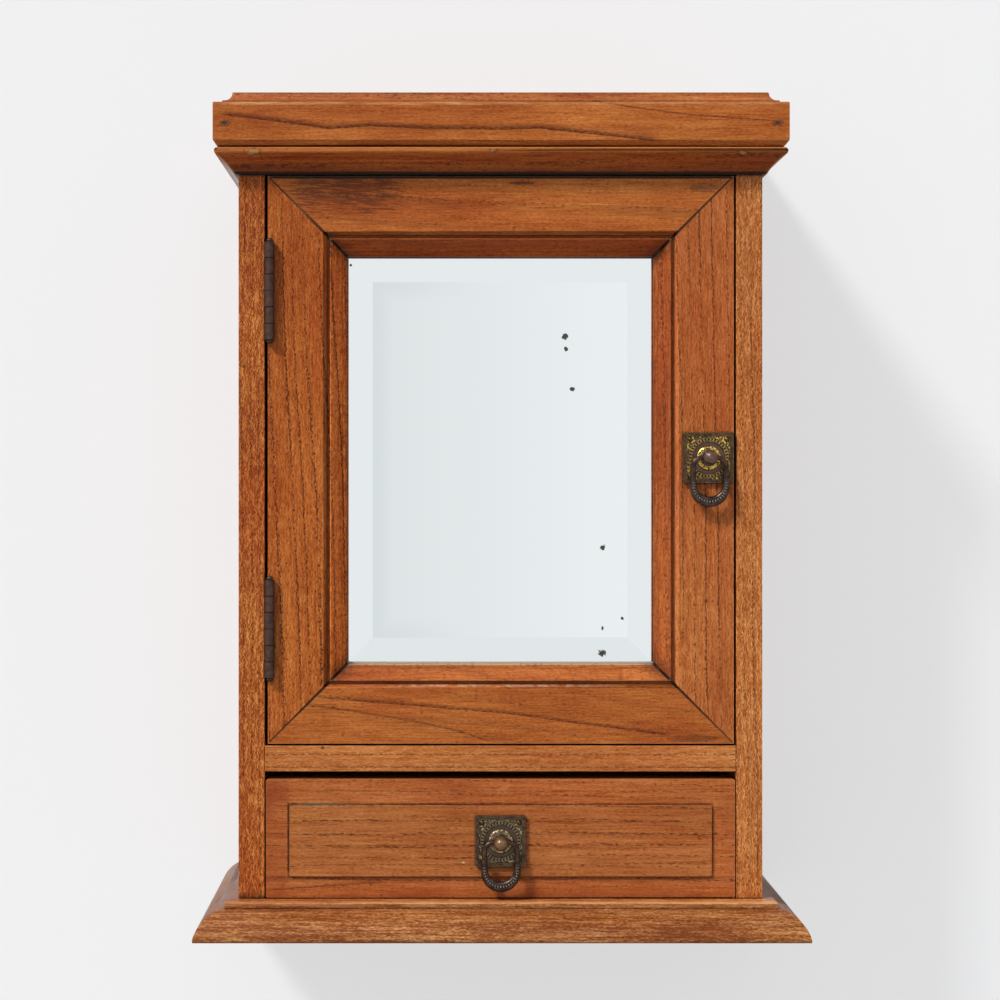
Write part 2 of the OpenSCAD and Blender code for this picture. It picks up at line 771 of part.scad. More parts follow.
// Shelves and battens
module shelf(z) {
    box([-inner_half + shelf_play, shelf_front_y, z], [inner_half - shelf_play, back_y, z + shelf_t]);
}
module lower_shelf() { color(inner_wood) shelf(divider_top + shelf_z_low); }
module upper_shelf() { color(inner_wood) shelf(divider_top + shelf_z_high); }
module shelf_battens() {
    color(inner_wood) both_sides() for (z = [shelf_z_low, shelf_z_high])
        box([inner_half - batten_side, batten_front_y, divider_top + z - batten_side],
            [inner_half, back_y, divider_top + z]);
}
module door_stop() {
    stop_y = door_back_y + seat_gap;
    color(inner_wood) box([inner_half - door_stop_w, stop_y, divider_top],
        [inner_half, stop_y + door_stop_t, top_board_z]);
}
module drawer_stops() {
    outer_x = inner_half - drawer_stop_in;
    color(inner_wood) both_sides() box([outer_x - drawer_stop_w, back_y - drawer_stop_t, base_t],
        [outer_x, back_y, base_t + drawer_stop_h]);
}

// Fasteners of the carcass
module base_screws() {
    color(bright_steel) at_base_screws() slotted_screw(base_screw_l, base_screw_d, base_screw_head_d);
}
module cornice_nails() { color(dark_iron) at_cornice_nails() lozenge_nail(); }
module cap_nails() { color(dark_iron) at_cap_nails() board_nail(); }
module back_nails() { color(dark_iron) at_back_nails() board_nail(); }

// Striking plate, let in flush with the side
module strike_plate() {
    color(old_brass) difference() {
        box([inner_half, catch_y - strike_w / 2, catch_abs_z - strike_h / 2],
            [inner_half + strike_t, catch_y + strike_w / 2, catch_abs_z + strike_h / 2]);
        translate([inner_half, catch_y, catch_abs_z])
            facing_left() cylinder(h = 3 * strike_t, r = strike_hole_r, center = true);
        at_strike_screws() flat_screw(strike_screw_l, strike_screw_d, 2 * strike_screw_d, fit_gap);
    }
}
module strike_screws() {
    color(old_brass) at_strike_screws() slotted_screw(strike_screw_l, strike_screw_d, 2 * strike_screw_d);
}

// Hinges
module knuckles(z0, which) {
    for (k = which)
        translate([hinge_axis_x, hinge_axis_y, z0 + hinge_l * knuckle_cuts[k] + knuckle_gap / 2])
            cylinder(h = hinge_l * (knuckle_cuts[k + 1] - knuckle_cuts[k]) - knuckle_gap, d = barrel_d);
}
module leaf_tabs(z0, which, x0, x1) {
    for (k = which)
        box([x0, hinge_axis_y, z0 + hinge_l * knuckle_cuts[k] + knuckle_gap / 2],
            [x1, front_y + leaf_corner_r, z0 + hinge_l * knuckle_cuts[k + 1] - knuckle_gap / 2]);
}
module leaf_plate(z0, x0, x1) {
    plate_y = hinge_axis_y + barrel_d / 2 + knuckle_gap;
    end_y = front_y + leaf_d;
    run_x(x0, x1) {
        translate([plate_y, z0]) square([end_y - leaf_corner_r - plate_y, hinge_l]);
        translate([plate_y, z0 + leaf_corner_r]) square([end_y - plate_y, hinge_l - 2 * leaf_corner_r]);
        for (z = [z0 + leaf_corner_r, z0 + hinge_l - leaf_corner_r])
            translate([end_y - leaf_corner_r, z]) circle(leaf_corner_r);
    }
}
module hinge_leaf(z0, which, x0, x1) {
    difference() {
        union() {
            knuckles(z0, which);
            leaf_tabs(z0, which, x0, x1);
            leaf_plate(z0, x0, x1);
        }
        translate([hinge_axis_x, hinge_axis_y, z0 - over])
            cylinder(h = hinge_l + 2 * over, d = hinge_pin_d + 2 * fit_gap);
        at_side_hinge_screws() flat_screw(hinge_screw_l, hinge_screw_d, hinge_screw_head_d, fit_gap);
        at_door_hinge_screws() flat_screw(hinge_screw_l, hinge_screw_d, hinge_screw_head_d, fit_gap);
    }
}
module fixed_leaf(z0) { hinge_leaf(z0, fixed_knuckles, -inner_half, -inner_half + leaf_t); }
module door_leaf(z0) { hinge_leaf(z0, door_knuckles, door_x, door_x + leaf_t); }
module hinge_pin(z0) {
    r = hinge_pin_d / 2;
    translate([hinge_axis_x, hinge_axis_y, z0]) rotate_extrude() difference() {
        union() {
            translate([0, -pin_tip_h / 4]) square([r, hinge_l + pin_tip_h / 2]);
            for (z = [-pin_tip_h / 4, hinge_l + pin_tip_h / 4]) translate([0, z]) intersection() {
                circle(r + pin_tip_h / 2);
                translate([0, z < 0 ? -pin_tip_h : 0]) square([r + over, pin_tip_h]);
            }
        }
        translate([-2 * r, -2 * pin_tip_h]) square([2 * r, hinge_l + 4 * pin_tip_h]);
    }
}
module upper_hinge_fixed_leaf() { color(dark_iron) fixed_leaf(hinge_high_z); }
module lower_hinge_fixed_leaf() { color(dark_iron) fixed_leaf(hinge_low_z); }
module upper_hinge_door_leaf() { color(dark_iron) door_leaf(hinge_high_z); }
module lower_hinge_door_leaf() { color(dark_iron) door_leaf(hinge_low_z); }
module upper_hinge_pin() { color(dark_iron) hinge_pin(hinge_high_z); }
module lower_hinge_pin() { color(dark_iron) hinge_pin(hinge_low_z); }
module hinge_side_screws() {
    color(dark_iron) at_side_hinge_screws() slotted_screw(hinge_screw_l, hinge_screw_d, hinge_screw_head_d);
}
module hinge_door_screws() {
    color(dark_iron) at_door_hinge_screws() slotted_screw(hinge_screw_l, hinge_screw_d, hinge_screw_head_d);
}

// Door frame: u runs in from the outer edge, v back from the face
module frame_profile() {
    difference() {
        square([frame_w, door_t]);
        translate([groove_u, -over]) square([frame_groove_w, frame_groove_v + over]);
        difference() {
            translate([frame_flat, -over]) square([frame_round_r + over, frame_round_r + over]);
            translate([frame_flat, frame_round_r]) circle(frame_round_r);
        }
        polygon(concat(
            [[ogee_u, -over]],
            ogee_points([ogee_u, ogee_top_v], [ogee_end_u, ogee_foot_v], ogee_steps),
            [[ogee_end_u, fillet_v], [frame_w + over, fillet_v], [frame_w + over, -over]]
        ));
        translate([frame_w - rebate_w, lip_t]) square([rebate_w + over, door_t]);
    }
}
module mitre_keys_raw(grow = 0) {
    for (x = [door_x, door_right], z = [door_z, door_top])
        translate([x, 0, z]) run_y(key_y - grow, key_y + key_t + grow) intersection() {
            rotate(45) square(key_side + 2 * grow, center = true);
            translate([x < 0 ? 0 : -key_side, z == door_z ? 0 : -key_side]) square(key_side);
        }
}
module stile_raw() {
    intersection() {
        translate([0, front_y, 0]) run_z(door_z, door_top) translate([door_x, 0]) frame_profile();
        run_y(front_y - over, door_back_y + over) polygon([
            [door_x, door_z], [door_x + frame_w, door_z + frame_w],
            [door_x + frame_w, door_top - frame_w], [door_x, door_top]
        ]);
    }
}
module rail_raw() {
    intersection() {
        run_x(door_x, door_right) translate([front_y, door_z]) mirror([1, -1]) frame_profile();
        run_y(front_y - over, door_back_y + over) polygon([
            [door_x, door_z], [door_right, door_z],
            [door_right - frame_w, door_z + frame_w], [door_x + frame_w, door_z + frame_w]
        ]);
    }
}
module flip_door_x() { translate([door_x + door_right, 0, 0]) mirror([1, 0, 0]) children(); }
module flip_door_z() { translate([0, 0, door_z + door_top]) mirror([0, 0, 1]) children(); }
module frame_cuts() {
    mitre_keys_raw(fit_gap);
    at_brads() cylinder(h = brad_l + fit_gap, d = brad_d + 2 * fit_gap);
}
module door_stile_hinge() {
    color(oak) difference() {
        stile_raw();
        frame_cuts();
        for (z0 = hinge_zs) {
            box([door_x - over, front_y - over, z0 - fit_gap],
                [door_x + leaf_t, front_y + leaf_d + fit_gap, z0 + hinge_l + fit_gap]);
            translate([hinge_axis_x, hinge_axis_y, z0 - pin_tip_h])
                cylinder(h = hinge_l + 2 * pin_tip_h, d = barrel_d + 2 * seat_gap);
        }
        at_door_hinge_screws() flat_screw(hinge_screw_l, hinge_screw_d, hinge_screw_head_d, fit_gap);
    }
}
module door_stile_catch() {
    color(oak) difference() {
        flip_door_x() stile_raw();
        frame_cuts();
        translate([door_right, catch_y, catch_abs_z]) facing_right() catch_outline(fit_gap);
        translate([door_pull_x, front_y, door_pull_abs_z]) pull_holes();
    }
}
module door_rail_bottom() {
    color(oak) difference() {
        rail_raw();
        frame_cuts();
    }
}
module door_rail_top() {
    color(oak) difference() {
        flip_door_z() rail_raw();
        frame_cuts();
    }
}
module mitre_keys() { color(inner_wood) mitre_keys_raw(); }

// Mirror
module mirror_glass() {
    edge_y = glass_back_y - glass_edge_t;
    color(silvered) intersection() {
        run_z(sight_z - glass_lap, sight_z + sight_h + glass_lap) polygon([
            [sight_x - glass_lap, glass_back_y], [sight_x - glass_lap, edge_y],
            [sight_x - glass_lap + bevel_w, glass_front_y],
            [sight_x - glass_lap + glass_w - bevel_w, glass_front_y],
            [sight_x - glass_lap + glass_w, edge_y], [sight_x - glass_lap + glass_w, glass_back_y]
        ]);
        run_x(sight_x - glass_lap, sight_x + sight_w + glass_lap) polygon([
            [glass_back_y, sight_z - glass_lap], [edge_y, sight_z - glass_lap],
            [glass_front_y, sight_z - glass_lap + bevel_w],
            [glass_front_y, sight_z - glass_lap + glass_h - bevel_w],
            [edge_y, sight_z - glass_lap + glass_h], [glass_back_y, sight_z - glass_lap + glass_h]
        ]);
    }
}
module mirror_backing() {
    color(inner_wood) box([sight_x - glass_lap, glass_back_y, sight_z - glass_lap],
        [sight_x + sight_w + glass_lap, backing_back_y, sight_z + sight_h + glass_lap]);
}
// Brads: two on each side of the glass, half in the frame and half over the backing
module at_brads() {
    for (share = brad_shares) {
        z = sight_z + sight_h * share;
        x = sight_x + sight_w * share;
        translate([sight_x - brad_in, brad_y, z]) facing_right() children();
        translate([sight_x + sight_w + brad_in, brad_y, z]) facing_left() children();
        translate([x, brad_y, sight_z - brad_in]) children();
        translate([x, brad_y, sight_z + sight_h + brad_in]) facing_down() children();
    }
}
module mirror_brads() { color(dark_iron) at_brads() cylinder(h = brad_l, d = brad_d); }

// Ball catch, drawn along +Z with the door's edge at the origin
module catch_outline(grow = 0) {
    mouth = grow + over * sign(grow);
    translate([0, 0, -catch_tube_l - grow])
        cylinder(h = catch_tube_l + mouth, d = catch_tube_d + 2 * grow);
    translate([0, 0, -catch_flange_t - grow])
        cylinder(h = catch_flange_t + mouth, r = catch_tube_d / 2 + catch_flange_out + grow);
}
module catch_tube() {
    color(old_brass) translate([door_right, catch_y, catch_abs_z]) facing_right() difference() {
        catch_outline();
        translate([0, 0, -catch_tube_l + catch_wall_end])
            cylinder(h = catch_tube_l - catch_wall_end - catch_lip_t, r = catch_bore_r);
        translate([0, 0, -catch_lip_t - over])
            cylinder(h = catch_lip_t + 2 * over, r = catch_mouth_r);
    }
}
module catch_ball() {
    color(bright_steel) translate([ball_x, catch_y, catch_abs_z]) sphere(d = ball_d);
}
// Coil spring, one tube swept along a helix whose turns a formula gives
module catch_spring() {
    rings = 10;
    sides = 6;
    wire_r = spring_wire_d / 2;
    rise = spring_end_x - catch_spring_x - spring_wire_d;
    n = spring_turns * rings;
    points = [for (i = [0:n], j = [0:sides - 1])
        let (a = 360 * i / rings, b = 360 * j / sides, r = spring_r + wire_r * cos(b))
        [wire_r + rise * i / n + wire_r * sin(b), r * cos(a), r * sin(a)]];
    walls = [for (i = [0:n - 1], j = [0:sides - 1], h = [0, 1])
        let (a = i * sides + j, b = i * sides + (j + 1) % sides)
        h == 0 ? [a, b, b + sides] : [a, b + sides, a + sides]];
    ends = [[for (j = [sides - 1:-1:0]) j], [for (j = [0:sides - 1]) n * sides + j]];
    color(bright_steel) translate([catch_spring_x, catch_y, catch_abs_z])
        polyhedron(points, concat(walls, ends));
}

// Pulls, drawn with the wood's face in the plane y = 0 and the ball's centre over the origin
module pull_plate() {
    half = plate_side / 2;
    difference() {
        union() {
            box([-half, -plate_t, -half], [half, 0, half]);
            difference() {
                box([-half, -plate_t - relief_h, -half], [half, 0, half]);
                box([-half + border_w, -plate_t - relief_h - over, -half + border_w],
                    [half - border_w, over, half - border_w]);
            }
            facing_front() pull_ring();
            facing_front() pull_rose();
        }
        facing_front() translate([0, 0, -over])
            cylinder(h = plate_t + rose_h + 2 * over, d = rivet_d + 2 * fit_gap);
        at_pull_pins() cylinder(h = 4 * plate_t, d = pull_pin_d + 2 * fit_gap, center = true);
    }
}
module pull_ring() {
    difference() {
        rotate_extrude() polygon([
            [ring_r_in, plate_t - fit_gap], [ring_r_out, plate_t - fit_gap],
            [ring_r_out - ring_bevel, plate_t + relief_h], [ring_r_in + ring_bevel, plate_t + relief_h]
        ]);
        for (i = [0:ring_notches - 1]) rotate(i * 360 / ring_notches)
            translate([ring_r_in + ring_rim, -notch_w / 2, notch_z])
                cube([ring_r_out - ring_r_in - 2 * ring_rim, notch_w, relief_h]);
    }
}
module pull_rose() {
    rotate_extrude() polygon([
        [0, plate_t - fit_gap], [rose_r, plate_t - fit_gap], [rose_r, plate_t + rose_rim_h],
        [rose_r - rose_rim_w, plate_t + rose_ridge_h], [rose_r - rose_dish_w, plate_t + rose_dish_h],
        [rose_top_r, plate_t + rose_h], [0, plate_t + rose_h]
    ]);
}
module pull_post() {
    facing_front() difference() {
        rotate_extrude() difference() {
            union() {
                translate([0, plate_t + rose_h]) square([post_d / 2, knob_out - plate_t - rose_h]);
                translate([0, plate_t + rose_h]) square([post_collar_r, post_collar_h]);
                translate([0, knob_out]) circle(d = knob_d, $fn = 64);
                square([rivet_d / 2, plate_t + rose_h + fit_gap]);
                translate([0, -rivet_tail]) square([rivet_head_d / 2, rivet_tail]);
            }
            translate([-knob_d, -knob_out]) square([knob_d, 3 * knob_out]);
        }
        translate([0, 0, pivot_out]) rotate([0, 90, 0])
            cylinder(h = knob_d, d = pivot_d + 2 * fit_gap, center = true);
    }
}
module at_pull_pins() {
    c = plate_side / 2 - pull_pin_in;
    for (x = [-c, c], z = [-c, c]) translate([x, -plate_t, z]) facing_front() children();
}
module pull_pins_raw() {
    at_pull_pins() {
        rotate_extrude() intersection() {
            translate([0, -pull_pin_dome_in]) circle(pull_pin_dome_r);
            square([pull_pin_head_d, pull_pin_head_d]);
        }
        translate([0, 0, -pull_pin_l]) cylinder(h = pull_pin_l + fit_gap, d = pull_pin_d);
    }
}
module pull_holes() {
    facing_front() translate([0, 0, -rivet_tail - fit_gap])
        cylinder(h = rivet_tail + over, d = rivet_head_d + 2 * fit_gap);
    at_pull_pins() translate([0, 0, -pull_pin_l - fit_gap])
        cylinder(h = pull_pin_l + over, d = pull_pin_d + 2 * fit_gap);
}
// The bail hangs from the post's cross hole: two shoulders, two arms and a thickened, beaded bottom
module bail() {
    r = bail_arm_d / 2;
    turn_x = bail_half - bail_turn_r;
    translate([0, -pivot_out, 0]) {
        both_sides() {
            translate([bail_tip_x, 0, 0]) facing_right()
                cylinder(h = bail_shoulder_x - bail_tip_x + fit_gap, d = pivot_d);
            translate([bail_shoulder_x, 0, 0]) facing_right()
                cylinder(h = turn_x - bail_shoulder_x, d = bail_neck_d);
            translate([turn_x, 0, -bail_turn_r]) rotate([90, 0, 0])
                rotate_extrude(angle = 90) translate([bail_turn_r, 0]) circle(d = bail_neck_d, $fn = 32);
            translate([bail_half, 0, bail_foot_z])
                cylinder(h = -bail_foot_z - bail_turn_r, d1 = bail_arm_d, d2 = bail_neck_d, $fn = 32);
            translate([bail_inner_r + r, 0, bail_inner_z]) sphere(r, $fn = 32);
        }
        translate([0, 0, bail_foot_z]) rotate([90, 0, 0]) rotate([0, 0, 180])
            rotate_extrude(angle = 180) translate([bail_half, 0]) circle(r, $fn = 32);
        translate([0, 0, bail_inner_z]) rotate([90, 0, 0]) rotate([0, 0, 180])
            rotate_extrude(angle = 180) translate([bail_inner_r + r, 0]) circle(r, $fn = 32);
        for (i = [0:bail_beads - 1]) let (a = bead_sweep * (2 * i / (bail_beads - 1) - 1))
            translate([bail_half * sin(a), bead_y, bead_z - bail_half * cos(a)]) sphere(d = bead_d, $fn = 24);
    }
}
module on_door() { translate([door_pull_x, front_y, door_pull_abs_z]) children(); }
module on_drawer() { translate([0, front_y - field_t, drawer_pull_c]) children(); }
module door_pull_plate() { color(old_brass) on_door() pull_plate(); }
module door_pull_post() { color(dark_bronze) on_door() pull_post(); }
module door_pull_pins() { color(old_brass) on_door() pull_pins_raw(); }
module door_pull_bail() { color(dark_bronze) on_door() bail(); }
module drawer_pull_plate() { color(old_brass) on_drawer() pull_plate(); }
module drawer_pull_post() { color(dark_bronze) on_drawer() pull_post(); }
module drawer_pull_pins() { color(old_brass) on_drawer() pull_pins_raw(); }
module drawer_pull_bail() { color(dark_bronze) on_drawer() bail(); }

// Drawer
module rounded_rect(w, h, r) {
    translate([r, 0]) square([w - 2 * r, h]);
    translate([0, r]) square([w, h - 2 * r]);
    for (x = [r, w - r], z = [r, h - r]) translate([x, z]) circle(r);
}
// One tail seen from the drawer's side, from its root at y = 0 to its tip at y = -tail_l
module tail_shape(grow = 0) {
    root = tail_root + grow;
    tip = root + tail_flare;
    l = tail_l + grow;
    polygon([[over, -root], [over, root], [0, root], [-l, tip], [-l, -tip], [0, -root]]);
}
module drawer_tails(grow = 0) {
    for (i = [0:tail_count - 1])
        translate([0, drawer_front_back_y, drawer_inside_z + tail_pitch * (i + 0.5)])
            run_x(drawer_inner_half - grow, drawer_half + over * sign(grow)) tail_shape(grow);
}
module drawer_front() {
    color(oak_red) difference() {
        union() {
            run_y(front_y, drawer_front_back_y) translate([-drawer_half, drawer_z])
                rounded_rect(2 * drawer_half, drawer_front_h, drawer_corner_r);
            run_y(front_y - field_t, front_y + over) translate([-field_w / 2, field_z])
                rounded_rect(field_w, field_h, field_corner_r);
        }
        both_sides() drawer_tails(fit_gap);
        box([-drawer_groove_x, drawer_front_back_y - bottom_groove_d, drawer_bottom_z],
            [drawer_groove_x, drawer_front_back_y + over, drawer_inside_z]);
        on_drawer() pull_holes();
    }
}
module drawer_side() {
    difference() {
        union() {
            box([drawer_inner_half, drawer_front_back_y, drawer_z],
                [drawer_half, drawer_back_y, drawer_side_top]);
            drawer_tails();
        }
        box([drawer_inner_half - over, front_y, drawer_bottom_z],
            [drawer_groove_x, drawer_back_y + over, drawer_inside_z]);
        box([drawer_inner_half - over, drawer_back_y - drawer_back_t, drawer_inside_z],
            [drawer_groove_x, drawer_back_y + over, drawer_side_top + over]);
    }
}
module drawer_side_right() { color(inner_wood) drawer_side(); }
module drawer_side_left() { color(inner_wood) mirror([1, 0, 0]) drawer_side(); }
module drawer_back() {
    color(inner_wood) box([-drawer_groove_x, drawer_back_y - drawer_back_t, drawer_inside_z],
        [drawer_groove_x, drawer_back_y, drawer_side_top - drawer_back_drop]);
}
module drawer_bottom() {
    w = drawer_groove_x - fit_gap;
    color(inner_wood) box([-w, drawer_front_back_y - bottom_groove_d + fit_gap, drawer_bottom_z + fit_gap],
        [w, drawer_back_y, drawer_inside_z - fit_gap]);
}

base_board();
left_side();
right_side();
divider_shelf();
top_board();
hanging_rail();
back_board_left();
back_board_middle();
back_board_right();
crown_front();
crown_left();
crown_right();
fascia_front();
fascia_left();
fascia_right();
cap_board();
lower_shelf();
upper_shelf();
shelf_battens();
door_stop();
drawer_stops();
base_screws();
cornice_nails();
cap_nails();
back_nails();
strike_plate();
strike_screws();
upper_hinge_fixed_leaf();
lower_hinge_fixed_leaf();
upper_hinge_pin();
lower_hinge_pin();
hinge_side_screws();
door_stile_hinge();
door_stile_catch();
door_rail_top();
door_rail_bottom();
mitre_keys();
mirror_glass();
mirror_backing();
mirror_brads();
upper_hinge_door_leaf();
lower_hinge_door_leaf();
hinge_door_screws();
catch_tube();
catch_ball();
catch_spring();
door_pull_plate();
door_pull_post();
door_pull_pins();
door_pull_bail();
drawer_front();
drawer_side_left();
drawer_side_right();
drawer_back();
drawer_bottom();
drawer_pull_plate();
drawer_pull_post();
drawer_pull_pins();
drawer_pull_bail();
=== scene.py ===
"""Dresses the wall medicine cabinet: oiled wood, bevelled mirror, iron hinges and brass pulls."""

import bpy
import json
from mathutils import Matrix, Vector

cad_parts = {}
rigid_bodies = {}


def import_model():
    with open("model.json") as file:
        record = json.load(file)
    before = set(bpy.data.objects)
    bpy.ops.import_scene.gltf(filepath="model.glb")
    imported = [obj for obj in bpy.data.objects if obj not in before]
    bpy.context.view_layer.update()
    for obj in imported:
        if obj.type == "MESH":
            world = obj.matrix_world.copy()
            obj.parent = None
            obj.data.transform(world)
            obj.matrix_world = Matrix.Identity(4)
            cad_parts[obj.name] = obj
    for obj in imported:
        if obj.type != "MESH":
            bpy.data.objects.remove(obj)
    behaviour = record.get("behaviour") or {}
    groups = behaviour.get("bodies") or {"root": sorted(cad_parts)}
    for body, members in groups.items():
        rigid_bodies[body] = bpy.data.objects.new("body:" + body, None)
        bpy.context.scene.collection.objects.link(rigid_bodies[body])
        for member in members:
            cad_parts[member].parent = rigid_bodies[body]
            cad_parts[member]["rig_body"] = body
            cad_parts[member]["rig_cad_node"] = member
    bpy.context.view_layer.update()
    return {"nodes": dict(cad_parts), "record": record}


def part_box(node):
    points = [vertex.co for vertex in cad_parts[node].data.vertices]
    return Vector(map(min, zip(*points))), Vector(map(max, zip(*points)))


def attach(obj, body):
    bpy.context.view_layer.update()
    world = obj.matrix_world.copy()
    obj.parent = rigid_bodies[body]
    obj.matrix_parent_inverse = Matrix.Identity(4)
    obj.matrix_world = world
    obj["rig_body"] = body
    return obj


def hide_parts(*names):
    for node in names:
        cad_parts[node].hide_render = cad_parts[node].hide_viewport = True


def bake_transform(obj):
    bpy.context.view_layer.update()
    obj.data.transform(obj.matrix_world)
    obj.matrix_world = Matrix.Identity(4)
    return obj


bl_info = {
    "name": "Wall Medicine Cabinet",
    "version": (1, 0, 0),
    "blender": (4, 5, 0),
    "location": "3D View > Sidebar > Cabinet",
    "description": "Oiled wood, bevelled mirror, iron hinges and brass pulls on the cabinet's frame",
    "category": "Object",
}

import json
import math

import bpy
from mathutils import Vector

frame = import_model()
NODES = frame["nodes"]
BODY_OF = {
    node: body
    for body, members in frame["record"]["behaviour"]["bodies"].items()
    for node in members
}
MM = 0.001


def low(node):
    """A node's lowest corner, in metres."""
    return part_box(node)[0]


def high(node):
    """A node's highest corner, in metres."""
    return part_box(node)[1]


def middle(node):
    """The middle of a node's box, in metres."""
    return (low(node) + high(node)) / 2


def paint(red, green, blue):
    """A colour as a screen shows it, 0 to 255, turned into the light it stands for."""
    shares = [c / 255 for c in (red, green, blue)]
    return [c / 12.92 if c <= 0.04045 else ((c + 0.055) / 1.055) ** 2.4 for c in shares]


# Places that the finishes and pieces share
FRONT_Y = low("left_side").y
WALL_Y = high("left_side").y
BASE_TOP = high("base_board").z
GLASS_LOW = low("mirror_glass")
DOOR_LOW = low("door_stile_hinge")
DOOR_HIGH = high("door_stile_catch")
FASCIA_HIGH = high("fascia_front")
SIDE_X = high("right_side").x


def level_corners(node, depth):
    """The lowest and highest corner of a node's points that lie near a depth, in metres."""
    points = [v.co for v in NODES[node].data.vertices if abs(v.co.y - depth) < 0.2 * MM]
    return [Vector(end(p[i] for p in points) for i in range(3)) for end in (min, max)]


# The flat of the mirror inside its bevel, and the raised field of the drawer's front
FLAT_LOW, FLAT_HIGH = level_corners("mirror_glass", GLASS_LOW.y)
FIELD_LOW, FIELD_HIGH = level_corners("drawer_front", low("drawer_front").y)


class Wire:
    """One output in a shader's nodes. Sums and products of wires add Math nodes."""

    def __init__(self, finish, socket):
        self.finish = finish
        self.socket = socket

    def math(self, operation, *others, clamp=False):
        return self.finish.math(operation, self, *others, clamp=clamp)

    def __add__(self, other):
        return self.math("ADD", other)

    __radd__ = __add__

    def __sub__(self, other):
        return self.math("SUBTRACT", other)

    def __rsub__(self, other):
        return self.finish.math("SUBTRACT", other, self)

    def __mul__(self, other):
        return self.math("MULTIPLY", other)

    __rmul__ = __mul__

    def __truediv__(self, other):
        return self.math("DIVIDE", other)

    def __abs__(self):
        return self.math("ABSOLUTE")


